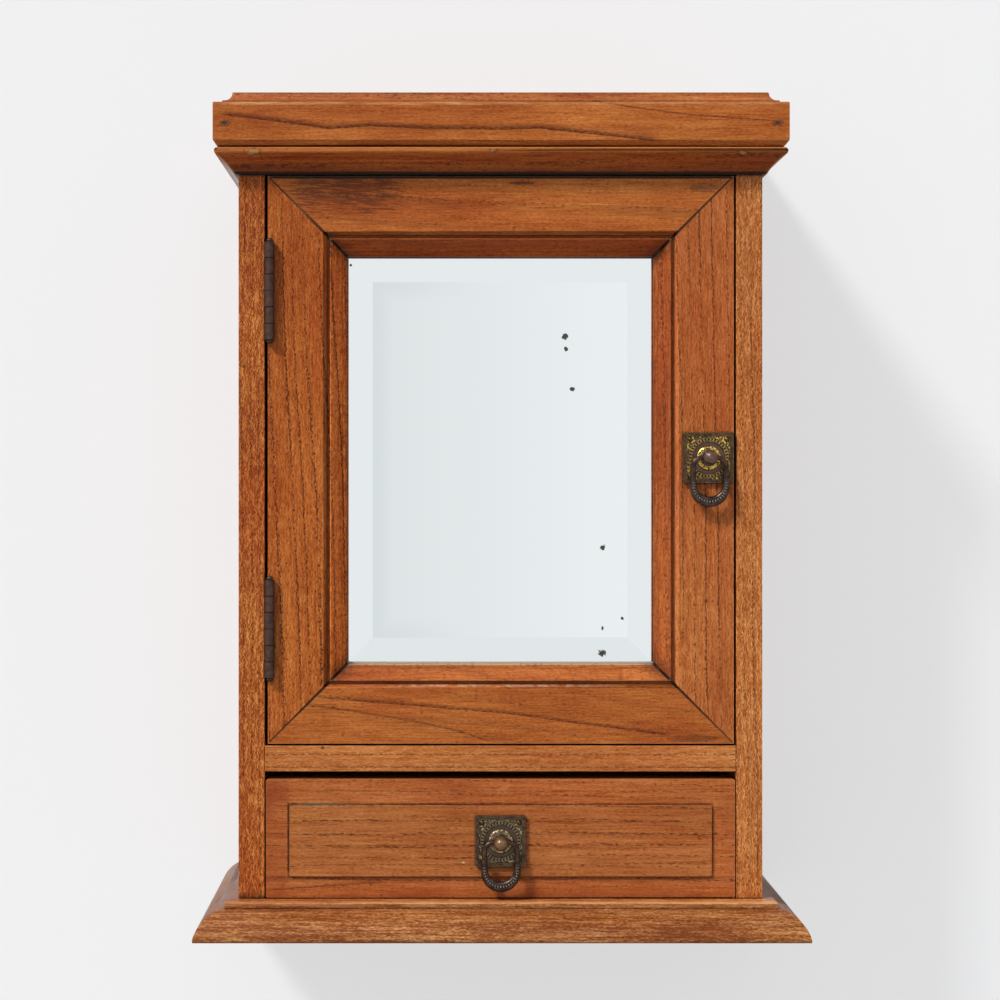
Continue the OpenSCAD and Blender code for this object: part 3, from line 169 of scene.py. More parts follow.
class Finish:
    """A material or world while its nodes are laid."""

    def __init__(self, name, owner=None):
        self.owner = owner or bpy.data.materials.new(name)
        self.owner.name = name
        self.owner.use_nodes = True
        self.tree = self.owner.node_tree
        self.shader = self.tree.nodes.get("Principled BSDF")
        self.cache = {}

    def node(self, kind, settings=None, inputs=None, output=0):
        """Adds a node: its settings first, then the values or wires of its sockets."""
        made = self.tree.nodes.new("ShaderNode" + kind)
        for name, value in (settings or {}).items():
            setattr(made, name, value)
        pairs = inputs.items() if isinstance(inputs, dict) else enumerate(inputs or [])
        for name, value in pairs:
            if isinstance(value, Wire):
                self.tree.links.new(value.socket, made.inputs[name])
            elif value is not None:
                made.inputs[name].default_value = value
        return Wire(self, made.outputs[output])

    def math(self, operation, *values, clamp=False):
        return self.node("Math", {"operation": operation, "use_clamp": clamp}, list(values))

    def place(self):
        """Where a point lies on the cabinet, in metres."""
        if "place" not in self.cache:
            self.cache["place"] = self.node("TexCoord", output="Object")
        return self.cache["place"]

    def split(self, vector):
        """The x, y and z of a vector."""
        split = self.tree.nodes.new("ShaderNodeSeparateXYZ")
        self.tree.links.new(vector.socket, split.inputs[0])
        return [Wire(self, out) for out in split.outputs]

    def axes(self):
        """The x, y and z of a point of the cabinet, in metres."""
        if "axes" not in self.cache:
            self.cache["axes"] = self.split(self.place())
        return self.cache["axes"]

    def vector(self, x, y, z):
        return self.node("CombineXYZ", inputs=[x, y, z])

    def noise(self, vector, scale, detail=2.0, roughness=0.5):
        """Smooth noise from 0 to 1."""
        inputs = {"Vector": vector, "Scale": scale, "Detail": detail, "Roughness": roughness}
        return self.node("TexNoise", inputs=inputs, output="Fac")

    def ramp(self, value, start, end, low_value=0.0, high_value=1.0, smooth=True):
        """Runs from one value to another while the input goes from start to end."""
        settings = {"interpolation_type": "SMOOTHSTEP" if smooth else "LINEAR", "clamp": True}
        return self.node("MapRange", settings, [value, start, end, low_value, high_value])

    def beyond(self, value, edge, start, end, *values):
        """A ramp whose two ends lie so many mm past an edge, or before it where they are below 0."""
        return self.ramp(value, edge + start * MM, edge + end * MM, *values)

    def near(self, value, centre, reach):
        """1 at a value and 0 beyond its reach on either side."""
        return self.ramp(abs(value - centre), reach, reach * 0.4)

    def mix(self, share, one, other, blend="MIX"):
        """One colour turning into another as share goes from 0 to 1."""
        settings = {"data_type": "RGBA", "blend_type": blend, "clamp_factor": True}
        colours = [c if isinstance(c, Wire) else [*c, 1.0] for c in (one, other)]
        return self.node("Mix", settings, {0: share, 6: colours[0], 7: colours[1]}, output=2)

    def coat(self, colour, share, *shade):
        """A colour under a share of a paint, which is given as a screen shows it."""
        return self.mix(share, colour, paint(*shade))

    def tinted(self, colour, tint):
        """A colour times another."""
        return self.mix(1.0, colour, tint, "MULTIPLY")

    def patches(self, waves, start, end, roughness=0.6, most=1.0):
        """Broken patches, from noise with so many waves a metre along x, y and z."""
        spread = self.vector(*(axis * count for axis, count in zip(self.axes(), waves)))
        return self.ramp(self.noise(spread, 1.0, 3.0, roughness), start, end, 0.0, most)

    def grain_of_metal(self, patch_waves, grit_waves, detail=4.0, roughness=0.6):
        """Broad patches and fine grit, each from 0 to 1."""
        patch = self.noise(self.place(), patch_waves, detail, roughness)
        return patch, self.noise(self.place(), grit_waves, 3.0, 0.7)

    def past(self, least, most):
        """How far a point lies past an upright panel's top or foot, and past any of its edges."""
        x, _, z = self.axes()
        over = abs(x - (least.x + most.x) / 2) - (most.x - least.x) / 2
        up = abs(z - (least.z + most.z) / 2) - (most.z - least.z) / 2
        return up, over.math("MAXIMUM", up)

    def soiled(self, colour, reach, end, share, dirt):
        """A colour with dirt in its corners."""
        return self.mix(self.ramp(self.crevice(reach), 0.3, end, 0.0, share), colour, dirt)

    def crevice(self, reach):
        """0 in the open and 1 deep in a corner."""
        settings = {"samples": 6}
        return 1 - self.node("AmbientOcclusion", settings, {"Distance": reach}, output="AO")

    def arris(self, reach):
        """0 on a flat and towards 1 on an outer edge."""
        settings = {"samples": 6, "inside": True, "only_local": True}
        return 1 - self.node("AmbientOcclusion", settings, {"Distance": reach}, output="AO")

    def spot(self, centre, radius, stretch=1.0, ragged=0.3, grit=500.0):
        """A ragged spot around a point of the face, so many times as wide as high."""
        x, _, z = self.axes()
        over = (x - centre[0] * MM) / (radius * stretch * MM)
        up = (z - centre[1] * MM) / (radius * MM)
        torn = (self.noise(self.place(), grit, 2.0) - 0.5) * (ragged * 4)
        return self.ramp((over * over + up * up).math("SQRT") + torn, 1.2, 0.75)

    def surface(self, **values):
        """Sets or links the shader's own sockets."""
        for name, value in values.items():
            socket = self.shader.inputs[name.replace("_", " ").title().replace("Ior", "IOR")]
            if isinstance(value, Wire):
                self.tree.links.new(value.socket, socket)
            elif isinstance(value, (list, tuple)) and len(value) == 3:
                socket.default_value = [*value, 1.0]
            else:
                socket.default_value = value

    def bump(self, height, distance, strength=1.0):
        """Raises the surface by a height from 0 to 1."""
        inputs = {"Height": height, "Distance": distance, "Strength": strength}
        self.surface(normal=self.node("Bump", inputs=inputs, output="Normal"))


# Wood: growth rings around a heart that lies off the board, with open pores along the grain.
# For each way that the grain runs: which axis lies across it, along it and into the board.
GRAIN_AXES = {"X": (2, 0, 1), "Z": (0, 2, 1), "Y": (0, 1, 2)}

# Over how far a line of the grain fades at each end
LINE_END = 5 * MM


class Line:
    """A dark line of the grain: its points along and across the board, in mm, and its soft side."""

    def __init__(self, *points, fade=3.0, dark=0.85, dotted=0.4):
        self.points = points
        self.fade = fade
        self.dark = dark
        self.dotted = dotted

    def mask(self, f, across, along, waver):
        """1 at the line's crisp side, fading out on its soft side and past its ends."""
        course = self.points[0][1] * MM
        for (a, start), (b, end) in zip(self.points, self.points[1:]):
            course = f.ramp(along, a * MM, b * MM, 0.0, (end - start) * MM, smooth=False) + course
        away = across - course + waver
        line = f.ramp(away, 0.0, 0.35 * MM) * f.ramp(away, self.fade * MM, self.fade * 0.15 * MM)
        first, last = self.points[0][0] * MM, self.points[-1][0] * MM
        begun = f.ramp(along, first - LINE_END, first + LINE_END)
        return line * begun * f.ramp(along, last + LINE_END, last - LINE_END) * self.dark


class Timber:
    """What sets one board apart from another. Sizes are in mm."""

    grain = "X"
    heart = (0, 0)
    lean = (0.0, 0.0)
    pitch = 7.0
    wave = 1.0
    zag = 1.2
    zig = 4.0
    band = 0.2
    band_dark = 0.35
    row_dark = 1.0
    row_wide = 1.8
    dash = 2.4
    open_pores = 0.0
    pore_dark = 0.62
    curl = 0.0
    curl_length = 3.0
    curl_pitch = 0.8
    grit = 0.75
    thread = 0.8
    tone = 0.0
    red = 0.25
    seed = 0.0
    lines = ()
    marks = ()

    def __init__(self, **changes):
        for name, value in changes.items():
            setattr(self, name, value)


def wood_finish(name, timber, colours, worn=True):
    """Oiled open-pored wood. Rings, pores and fibres all follow the board's own grain. A worn board also gets
    painted shade in its corners and paler rubbed arrises.
    """
    f = Finish(name)
    t = timber
    axes = f.axes()
    across, along, depth = (axes[i] for i in GRAIN_AXES[t.grain])

    def grained(wide, length, detail=1.0, roughness=0.5, offset=0.0):
        """Noise whose marks are so wide and so long, in mm."""
        over = 1000 / wide
        shift = t.seed + offset
        spread = f.vector(across * over + shift, along * (1000 / length) + shift, depth * over)
        return f.noise(spread, 1.0, detail, roughness)

    # Growth rings, each with a strength of its own
    sway = (grained(110, 360, 2.0) - 0.5) * (14 * MM * t.wave)
    zigzag = (grained(6, t.zig, 1.0, offset=3.0) - 0.5) * (t.zag * MM)
    side = across + along * t.lean[0] + sway - t.heart[0] * MM
    into = depth + along * t.lean[1] + sway * 0.4 - t.heart[1] * MM
    radius = (side * side + into * into).math("SQRT") + zigzag
    uneven = f.noise(f.vector(radius * 45.0 + t.seed, 0.0, 0.0), 1.0, 1.0)
    turns = radius / (t.pitch * MM) + (uneven - 0.5) * 1.6
    ring = turns.math("FLOOR")
    phase = turns - ring
    since = phase * t.pitch
    drawn = f.node("TexWhiteNoise", {"noise_dimensions": "1D"}, {"W": ring + t.seed}, output="Value")
    patchy = grained(16, 110, 1.0, offset=17.0)
    strength = (drawn * 0.5 + 0.5) * f.ramp(patchy, 0.34, 0.54, 0.35, 1.0)
    row = f.ramp(since, 0.0, 0.25) * f.ramp(since, t.row_wide, t.row_wide * 0.4) * strength
    band = f.ramp(phase, 0.0, 0.04) * f.ramp(phase, t.band, t.band * 0.15) * strength

    # Pores and fibres
    speck = grained(0.75, 2.4, 1.0, offset=5.0)
    pitting = grained(0.8, t.dash, 1.0, offset=7.0)
    fibre = grained(1.1, 22, 3.0, 0.75, offset=9.0)
    thread = grained(2.6, 60, 2.0, 0.6, offset=11.0)
    cloud = grained(26, 100, 3.0, 0.5, offset=13.0)
    flush = grained(50, 120, 2.0, 0.5, offset=15.0)
    pores = f.ramp(pitting + row * (0.25 * t.row_dark) + (t.open_pores - 0.12), 0.50, 0.60)
    ticks = f.ramp(speck, 0.36, 0.56)
    dots = f.ramp(pitting, 0.44, 0.54)
    dark = band * (ticks * 0.7 + 0.3) * t.band_dark
    for line in t.lines:
        broken = dots * line.dotted + (1 - line.dotted)
        drawn_line = line.mask(f, across, along, zigzag * 0.6) * broken
        dark = dark.math("MAXIMUM", drawn_line)

    light, deep, red, streak, pore = (paint(*shade) for shade in colours)
    body = f.mix(f.ramp(cloud * 0.55 + thread * 0.45, 0.38, 0.62), light, deep)
    body = f.mix(f.ramp(flush, 0.45, 0.72, 0.0, t.red * 1.6), body, red)
    body = f.mix(phase * phase * 0.5, body, deep)
    height = speck * 0.25 + fibre * 0.35 - pores * 0.7
    tonal = (fibre - 0.5) * 1.15 + (thread - 0.5) * t.thread + (speck - 0.5) * t.grit + (1.02 + t.tone)
    if t.curl:
        tooth = abs((along / (t.curl_length * MM)).math("FRACT") - 0.5) * (0.35 * t.curl_length)
        waver = (grained(5.0, 3.6, 2.0, offset=23.0) - 0.5) * 3.6
        wavy = (across * 1000 + tooth + waver) / t.curl_pitch + t.seed
        fleck = f.noise(f.vector(wavy, along * 130.0, depth * (1000 / t.curl_pitch)), 1.0, 1.0)
        comb = f.ramp(fleck, 0.36, 0.60)
        tonal = tonal - (comb - 0.5) * t.curl
        height = height - comb * (0.5 * t.curl)
    tonal = tonal.math("MAXIMUM", 0.6 * (1 + t.tone))
    shift = tonal / (1 + t.tone)
    warmed = f.vector(tonal, tonal * shift.math("POWER", 0.7), tonal * shift.math("POWER", 1.5))
    body = f.tinted(body, warmed)
    body = f.mix(dark, body, f.mix(0.7, streak, pore))
    body = f.mix(pores * t.pore_dark, body, pore)
    for mark in t.marks:
        body = mark(f, body)
    if worn:
        # Painted shade: darker broadly within 7 mm of corners, and near black in narrow creases and gaps. The
        # arrises are rubbed paler by wear.
        painted_shade = f.ramp(f.crevice(7 * MM) + (cloud - 0.5) * 0.3, 0.22, 0.7, 0.0, 0.45)
        body = f.coat(body, painted_shade, 60, 28, 14)
        body = f.coat(body, f.ramp(f.crevice(1.6 * MM), 0.26, 0.46, 0.0, 0.9), 24, 12, 6)
        rub = f.ramp(f.arris(1.2 * MM) + (cloud - 0.5) * 0.6, 0.38, 0.7, 0.0, 0.55)
        body = f.coat(body, rub, 210, 146, 88)
    f.surface(
        base_color=body,
        roughness=f.ramp(cloud + pores * 0.5, 0.25, 0.95, 0.40, 0.58),
    )
    f.shader.inputs["Specular IOR Level"].default_value = 0.16
    f.bump(height, 0.25 * MM, 0.9)
    return f.owner


# Marks of wear and dirt, and painted light and shade. Each takes the colour so far and gives it back with the
# mark on it.

# How wide the flat of the door's frame is, out from its moulding
DOOR_FLAT = 37.9 * MM


def door_seams_and_shading(*tint):
    """The dark mitre lines at the door's corners; the moulding next to the glass in a tint that is partly its
    own tone and partly painted light and shade; and a painted shadow line along the door's top, under the
    crown.
    """

    def mark(f, body):
        x, y, z = f.axes()
        side = (x - DOOR_LOW.x).math("MINIMUM", DOOR_HIGH.x - x)
        end = (z - DOOR_LOW.z).math("MINIMUM", DOOR_HIGH.z - z)
        inward = side.math("MINIMUM", end)
        gap = abs(side - end) * 0.707
        seam = f.ramp(gap / f.ramp(inward, 0.0, 40 * MM, 0.6 * MM, 1.15 * MM), 1.0, 0.5)
        moulding = f.beyond(inward, DOOR_FLAT, -0.3, 0.3)
        smear = f.patches((330, 0, 330), 0.50, 0.66, most=0.45)
        # Painted light and shade: the tint lightens the hinge stile's moulding and darkens the catch stile's
        # and the top rail's, beside their own tone.
        body = f.mix(moulding, body, f.tinted(body, tint))
        body = f.coat(body, moulding * smear, 104, 42, 24)
        corner = f.ramp(gap, 9 * MM, 1 * MM) * moulding
        body = f.coat(body, corner * 0.45, 48, 26, 20)
        # Painted shadow: a near black line along the door's top, under the crown.
        under = f.beyond(z, DOOR_HIGH.z, -2.2, -1.2)
        under = under * f.beyond(y, FRONT_Y, 1.5, 0.8)
        return f.coat(body, seam.math("MAXIMUM", under) * 0.95, 14, 6, 3)

    return mark


def small_knot(centre, radius, stretch, share, colour):
    """One dark spot, such as a knot."""
    return lambda f, body: f.mix(f.spot(centre, radius, stretch) * share, body, colour)


def top_rail_stain(f, body):
    """A dark streaky stain at the left of the door's top rail."""
    x, _, z = f.axes()
    streaks = f.noise(f.vector(x * 80.0, 0.0, z * 900.0 + x * 60.0), 1.0, 2.0, 0.6)
    broad = f.near(x, -0.094, 0.046) * f.ramp(z, 0.429, 0.454)
    streaks = f.ramp(streaks + (broad - 0.5) * 0.18, 0.47, 0.60) * f.ramp(broad, 0.05, 0.5)
    body = f.coat(body, streaks * 0.62, 62, 26, 13)
    body = f.coat(body, f.ramp(broad, 0.1, 1.0, 0.0, 0.25), 92, 44, 22)
    body = f.coat(body, f.spot((13, 458), 1.0, stretch=8) * 0.7, 52, 24, 12)
    return f.coat(body, f.spot((125, 455), 2.4, stretch=4) * 0.45, 72, 56, 46)


def bottom_rail_dust_and_highlight(f, body):
    """A pale line under the groove of the door's bottom rail, partly dust and partly a painted highlight on
    the groove's upward arris, and a pale line along the glass.
    """
    x, _, z = f.axes()
    broken = f.patches((260, 0, 500), 0.4, 0.62, roughness=0.5)
    # Partly dust, partly a painted highlight on the groove's upward arris.
    dust = f.near(z, DOOR_LOW.z + 35.3 * MM, 0.9 * MM) * f.near(x, 0.0, 0.10)
    body = f.coat(body, dust * broken * 0.5, 196, 172, 150)
    by_glass = f.beyond(z, DOOR_LOW.z, 47.0, 47.6, 0.0, 0.6)
    body = f.coat(body, by_glass, 200, 184, 150)
    return f.coat(body, f.spot((118, 118.5), 2.2, stretch=7) * 0.5, 84, 40, 20)


def crown_light_and_shade(f, body):
    """Painted light and shade on the crown: a painted highlight on its upper bead, painted shade darkening
    towards its foot and a painted shadow line along its lower edge.
    """
    _, _, z = f.axes()
    body = f.coat(body, f.ramp(z, 0.4735, 0.4765, 0.0, 0.5), 220, 142, 76)
    body = f.coat(body, f.ramp(z, 0.4715, 0.4640, 0.0, 0.45), 52, 22, 10)
    return f.coat(body, f.ramp(z, 0.4652, 0.4640, 0.0, 0.95), 14, 6, 3)


# Chips in the crown's bead: x and z, radius and stretch, in mm
CROWN_CHIPS = (
    ((-150.1, 475.3), 1.4, 2.4),
    ((-4.9, 476.4), 0.9, 1.8),
    ((146.9, 474.6), 0.9, 2.4),
)


def crown_chips(f, body):
    """The crown's painted highlight and shade, with chips in its bead filled with putty."""
    body = crown_light_and_shade(f, body)
    for centre, radius, stretch in CROWN_CHIPS:
        body = f.coat(body, f.spot(centre, radius * 1.5, stretch, ragged=0.8) * 0.45, 70, 36, 20)
        putty = f.spot(centre, radius, stretch, ragged=1.0, grit=420.0)
        body = f.coat(body, putty * 0.6, 206, 152, 100)
    return body


def crown_dust_and_sheen(f, body):
    """The crown's painted light and shade, and on its left side towards the wall a pale grey that is partly
    dust and partly a painted grazing sheen.
    """
    x, y, _ = f.axes()
    body = crown_light_and_shade(f, body)
    # Pale grey broken like dust: partly dust, partly a painted grazing sheen.
    broken = f.ramp(f.noise(f.place(), 160.0, 4.0, 0.65), 0.3, 0.6, 0.6, 0.9)
    dust = f.ramp(y, -0.062, -0.02) * f.ramp(x, 0.0, -0.01) * broken
    return f.coat(body, dust, 186, 182, 176)


def fascia_wear(f, body):
    """A pale worn top edge, and dirt round the two lozenge nails."""
    x, _, z = f.axes()
    broken = f.patches((60, 0, 500), 0.42, 0.6)
    edge = f.beyond(z, FASCIA_HIGH.z, -2.2, -1.2)
    spread = f.near(x, -0.132, 0.045).math("MAXIMUM", f.near(x, -0.030, 0.045))
    edge = edge * (broken * 0.7 + 0.3) * f.ramp(spread, 0.0, 1.0, 0.4, 0.75)
    body = f.coat(body, edge, 222, 168, 114)
    for side in (-167.2, 167.2):
        body = f.coat(body, f.spot((side, 492.5), 2.0, 1.8) * 0.6, 66, 36, 20)
    return body


def base_wear_and_light(f, body):
    """The base's step with a painted highlight along its top arris and pale rubbed patches, a painted shade
    line in the cove under it, a dark streak on its face, and greyer sides, partly grime and partly a painted
    grazing sheen.
    """
    x, y, z = f.axes()
    broken = f.patches((40, 300, 500), 0.4, 0.6)
    # Painted highlight: the step's top arris lighter, and paler still but for its far left.
    step = f.beyond(z, BASE_TOP, -0.8, -0.3)
    body = f.mix(step, body, f.tinted(body, (1.45, 1.45, 1.45)))
    rise = f.beyond(z, BASE_TOP, -3.2, -2.4)
    rise = rise * f.beyond(y, FRONT_Y, -6, -9)
    body = f.coat(body, rise * (broken * 0.3 + 0.05), 206, 142, 92)
    pale = step * f.ramp(x, -0.13, -0.06) * f.beyond(y, FRONT_Y, -6, -14)
    body = f.coat(body, pale * (broken * 0.4 + 0.3), 218, 166, 114)
    front = f.beyond(y, FRONT_Y, -27, -29)
    # Painted shade: a dark line in the cove under the step, on the front face.
    line = front * f.near(z, BASE_TOP - 2.8 * MM, 0.9 * MM)
    body = f.coat(body, line * (broken * 0.5 + 0.35), 52, 25, 12)
    streak = front * f.near(z, 11.6 * MM, 1.8 * MM) * f.near(x, -0.10, 0.06)
    body = f.coat(body, streak * (broken * 0.5 + 0.25), 70, 36, 18)
    # Greyer sides: grime, and a painted grazing sheen.
    side = f.ramp(abs(x) - SIDE_X + y - FRONT_Y, 0.0, 0.8 * MM)
    grime_and_sheen = f.noise(f.vector(x * 120.0, y * 40.0, z * 160.0), 1.0, 3.0, 0.6)
    body = f.coat(body, side * f.ramp(grime_and_sheen, 0.25, 0.65, 0.6, 0.95), 128, 102, 90)
    return f.coat(body, side * f.ramp(grime_and_sheen, 0.52, 0.7, 0.0, 0.5), 70, 52, 46)


def foot_dirt(f, body):
    """Dark dirt at the foot of the left side, with one small knot above."""
    _, _, z = f.axes()
    torn = (f.noise(f.place(), 220.0, 3.0, 0.6) - 0.5) * (4 * MM)
    body = f.coat(body, f.beyond(z + torn, BASE_TOP, 5, 0) * 0.8, 52, 42, 26)
    return f.coat(body, f.spot((-156.9, 345.9), 1.1, 0.8) * 0.8, 60, 28, 14)


def drawer_wear_and_shadow(f, body):
    """A paler raised field with dirt along its edges, a painted shadow under its foot, dust on its top edge
    and a redder border.
    """
    x, _, z = f.axes()
    up, away = f.past(FIELD_LOW, FIELD_HIGH)
    broken = f.ramp(f.noise(f.place(), 240.0, 3.0, 0.6), 0.36, 0.6)
    patches = f.ramp(f.noise(f.place(), 28.0, 2.0, 0.5), 0.38, 0.62)
    body = f.mix(f.ramp(away, 0.0, -0.6 * MM), body, f.tinted(body, (0.93, 1.02, 1.06)))
    border = f.ramp(x, -0.126, -0.133).math("MAXIMUM", f.ramp(z, 0.030, 0.024) * 0.6)
    body = f.coat(body, border * (patches * 0.5 + 0.3), 138, 58, 26)
    dirt = f.near(away, 0.5 * MM, 1.0 * MM) * (broken * 0.3 + 0.25)
    dirt = dirt * (1 + f.ramp(x, -0.120, -0.1285))
    dirt = dirt * f.beyond(z, FIELD_LOW.z, 0, 6, 0.45, 1.0)
    body = f.coat(body, dirt.math("MINIMUM", 0.85), 44, 20, 10)
    # Painted shadow: a soft dark band just under the raised field's foot.
    shade = f.beyond(z, FIELD_LOW.z, -5, 0) * f.beyond(z, FIELD_LOW.z, 0, -0.4)
    body = f.coat(body, shade * 0.45, 84, 36, 18)
    dust = f.near(up, 0.4 * MM, 0.9 * MM) * f.ramp(z, 0.070, 0.072) * f.near(x, -0.108, 0.024)
    body = f.coat(body, dust * broken * 0.8, 120, 112, 84)
    body = f.coat(body, f.spot((1.6, 88.2), 2.8, 1.1, ragged=1.4, grit=260.0) * 0.2, 214, 158, 96)
    return f.coat(body, f.spot((-22.9, 43.1), 0.6, 1.8, ragged=0.8) * 0.6, 222, 196, 160)


# Light wood, deep wood, red flush, streak and pore of each sort of board, as a screen shows them
OILED = (192, 112, 50), (160, 80, 30), (168, 74, 27), (112, 50, 22), (56, 23, 10)
RUSSET = (190, 106, 44), (158, 76, 24), (166, 72, 22), (108, 46, 18), (58, 23, 9)
REDDER = (186, 110, 55), (158, 82, 37), (166, 76, 31), (108, 48, 22), (56, 24, 11)
EDGE = (196, 124, 65), (168, 97, 47), (172, 88, 38), (120, 64, 29), (60, 30, 14)
CROWN = (188, 97, 33), (152, 68, 18), (160, 68, 20), (100, 40, 14), (54, 20, 8)
PLAIN = (190, 142, 96), (172, 122, 78), (170, 112, 68), (140, 94, 58), (92, 58, 34)

# Each board's colours and timber: heart off the origin, and lean of the heart in mm per mm
TIMBERS = {
    "base_board": (EDGE, Timber(
        heart=(-90, -80), lean=(0.03, 0.02), pitch=6.5, zag=1.6, dash=1.8, open_pores=-0.02, row_dark=0.6,
        pore_dark=0.4, curl=0.26, curl_pitch=0.9, thread=1.5, tone=-0.38, red=0.1, grit=1.0, seed=1.7,
        marks=(base_wear_and_light,))),
    "left_side": (OILED, Timber(
        grain="Z", heart=(-310, -84), pitch=5.0, wave=1.2, zag=2.0, zig=3.0, dash=1.6, open_pores=0.02,
        pore_dark=0.55, tone=0.04, grit=1.3, curl=0.62, curl_length=3.4, seed=2.3, marks=(foot_dirt,),
        lines=(Line((120, -151.2), (465, -153.4), fade=0.7, dark=0.75),))),
    "right_side": (EDGE, Timber(
        grain="Z", heart=(296, -110), lean=(0.012, 0), pitch=5.6, zag=1.6, dash=1.8,
        open_pores=-0.02, wave=1.4, curl=0.42, curl_length=4.0, grit=1.3, tone=0.07, row_dark=0.9,
        pore_dark=0.55, seed=7.1)),
    "divider_shelf": (EDGE, Timber(
        heart=(440, -190), pitch=8.0, dash=2.0, row_dark=0.2, open_pores=-0.04, pore_dark=0.5, curl=0.22,
        thread=1.1, tone=0.07, seed=3.9,
        marks=(small_knot((-108.7, 113.0), 0.9, 1.7, 0.8, paint(56, 40, 18)),),
        lines=(
            Line((-150, 108.3), (150, 108.1), fade=1.7, dark=0.85, dotted=0.9),
            Line((-150, 100.6), (150, 100.4), fade=1.9, dark=0.8, dotted=0.8)))),
    "top_board": (OILED, Timber(heart=(620, -150), seed=4.4)),
    "crown_front": (CROWN, Timber(
        heart=(600, -30), pitch=8.0, zag=0.5, dash=3.0, row_dark=0.6, band=0.35, thread=1.9, tone=-0.03,
        seed=5.8, marks=(crown_chips,))),
    "crown_left": (CROWN, Timber(
        grain="Y", heart=(-120, 590), dash=2.2, tone=-0.04, seed=6.2, marks=(crown_dust_and_sheen,))),
    "crown_right": (CROWN, Timber(
        grain="Y", heart=(120, 590), dash=2.2, tone=-0.04, seed=6.9, marks=(crown_dust_and_sheen,))),
    "fascia_front": (OILED, Timber(
        heart=(640, -95), lean=(0.02, 0.0), pitch=9.5, wave=1.3, zag=0.6, dash=3.0, row_dark=0.35,
        band=0.3, band_dark=0.25, open_pores=-0.05, pore_dark=0.45, thread=1.2, red=0.1, seed=8.3,
        marks=(fascia_wear,),
        lines=(
            Line((-168, 496.8), (-143.4, 493.8), (-121.6, 491.1), (-104.7, 488.3), (-79.3, 490.2),
                 (-44.2, 488.3), (-0.7, 488), (24.1, 488.7), (35.6, 487.3), (70.6, 483.6), (93.6, 480.9),
                 fade=4.2, dark=0.95, dotted=0.3),
            Line((53.1, 505.4), (79.7, 501.3), (108.1, 497.5), (141.3, 494.8), (161.9, 493.3),
                 fade=1.7, dark=0.9)))),
    "fascia_left": (OILED, Timber(grain="Y", heart=(-320, 500), dash=3.0, band=0.3, seed=8.9)),
    "fascia_right": (OILED, Timber(grain="Y", heart=(320, 500), dash=3.0, band=0.3, seed=9.4)),
    "cap_board": (REDDER, Timber(
        heart=(480, 60), lean=(0.0, 0.04), pitch=10.0, dash=3.0, band=0.4, tone=-0.16, red=0.1, seed=10.2)),
    "door_stile_hinge": (RUSSET, Timber(
        grain="Z", heart=(-380, -70), lean=(0.03, 0), pitch=7.6, zag=2.0, zig=3.4, dash=1.9,
        row_dark=1.2, row_wide=1.7, red=0.3, tone=-0.04, pore_dark=0.8, open_pores=-0.02, curl=0.3, seed=11.6,
        marks=(door_seams_and_shading(1.68, 1.56, 1.35),))),
    "door_stile_catch": (REDDER, Timber(
        grain="Z", heart=(340, -90), lean=(0.02, 0), pitch=8.4, zag=1.6, zig=5.0, dash=2.2, tone=0.06,
        row_dark=1.1, row_wide=1.6, pore_dark=0.68, open_pores=-0.03, curl=0.25, seed=12.4,
        marks=(
            door_seams_and_shading(0.80, 0.66, 0.52),
            small_knot((125.7, 202.6), 1.3, 0.9, 0.75, paint(96, 34, 18))))),
    "door_rail_top": (OILED, Timber(
        heart=(560, -90), lean=(0.05, 0.02), pitch=13.0, zag=0.6, dash=3.0, row_dark=0.5, band=0.4,
        band_dark=0.4, open_pores=-0.04, seed=13.7, marks=(top_rail_stain, door_seams_and_shading(0.90, 0.66, 0.40)))),
    "door_rail_bottom": (OILED, Timber(
        heart=(320, -110), lean=(0.16, 0.03), pitch=11.0, zag=0.6, dash=3.0, row_dark=0.35, band=0.35,
        band_dark=0.25, open_pores=-0.04, tone=-0.06, seed=14.5,
        marks=(bottom_rail_dust_and_highlight, door_seams_and_shading(0.95, 0.95, 1.0)),
        lines=(
            Line((-112.1, 143.3), (2.8, 133.6), (102.4, 120.1), fade=3.4),
            Line((-118.8, 138.3), (-106.6, 137), (-64.4, 130.5), (-31.4, 124), (-7, 116.6), fade=2.6,
                 dark=0.75),
            Line((-64.4, 130.5), (2.8, 125), (24, 122.2), fade=5.0, dark=0.35)))),
    "drawer_front": (REDDER, Timber(
        heart=(-260, -120), lean=(0.004, 0), pitch=7.4, zag=0.9, zig=6.0, dash=3.4, band=0.15,
        row_dark=0.8, open_pores=-0.05, thread=1.2, tone=0.03, seed=15.8, marks=(drawer_wear_and_shadow,),
        lines=(
            Line((-126, 68.2), (126, 67.4), fade=1.5, dark=0.65, dotted=0.85),
            Line((-126, 60.0), (126, 59.6), fade=1.4, dark=0.55, dotted=0.85),
            Line((-126, 52.8), (126, 53.4), fade=1.6, dark=0.7, dotted=0.85),
            Line((-126, 41.1), (126, 42.0), fade=1.5, dark=0.65, dotted=0.85),
            Line((-141.5, 25.4), (-71.8, 30.3), fade=3.0, dark=0.7),
            Line((-141, 86.2), (141, 85.6), fade=1.5, dark=0.6, dotted=0.85)))),
}
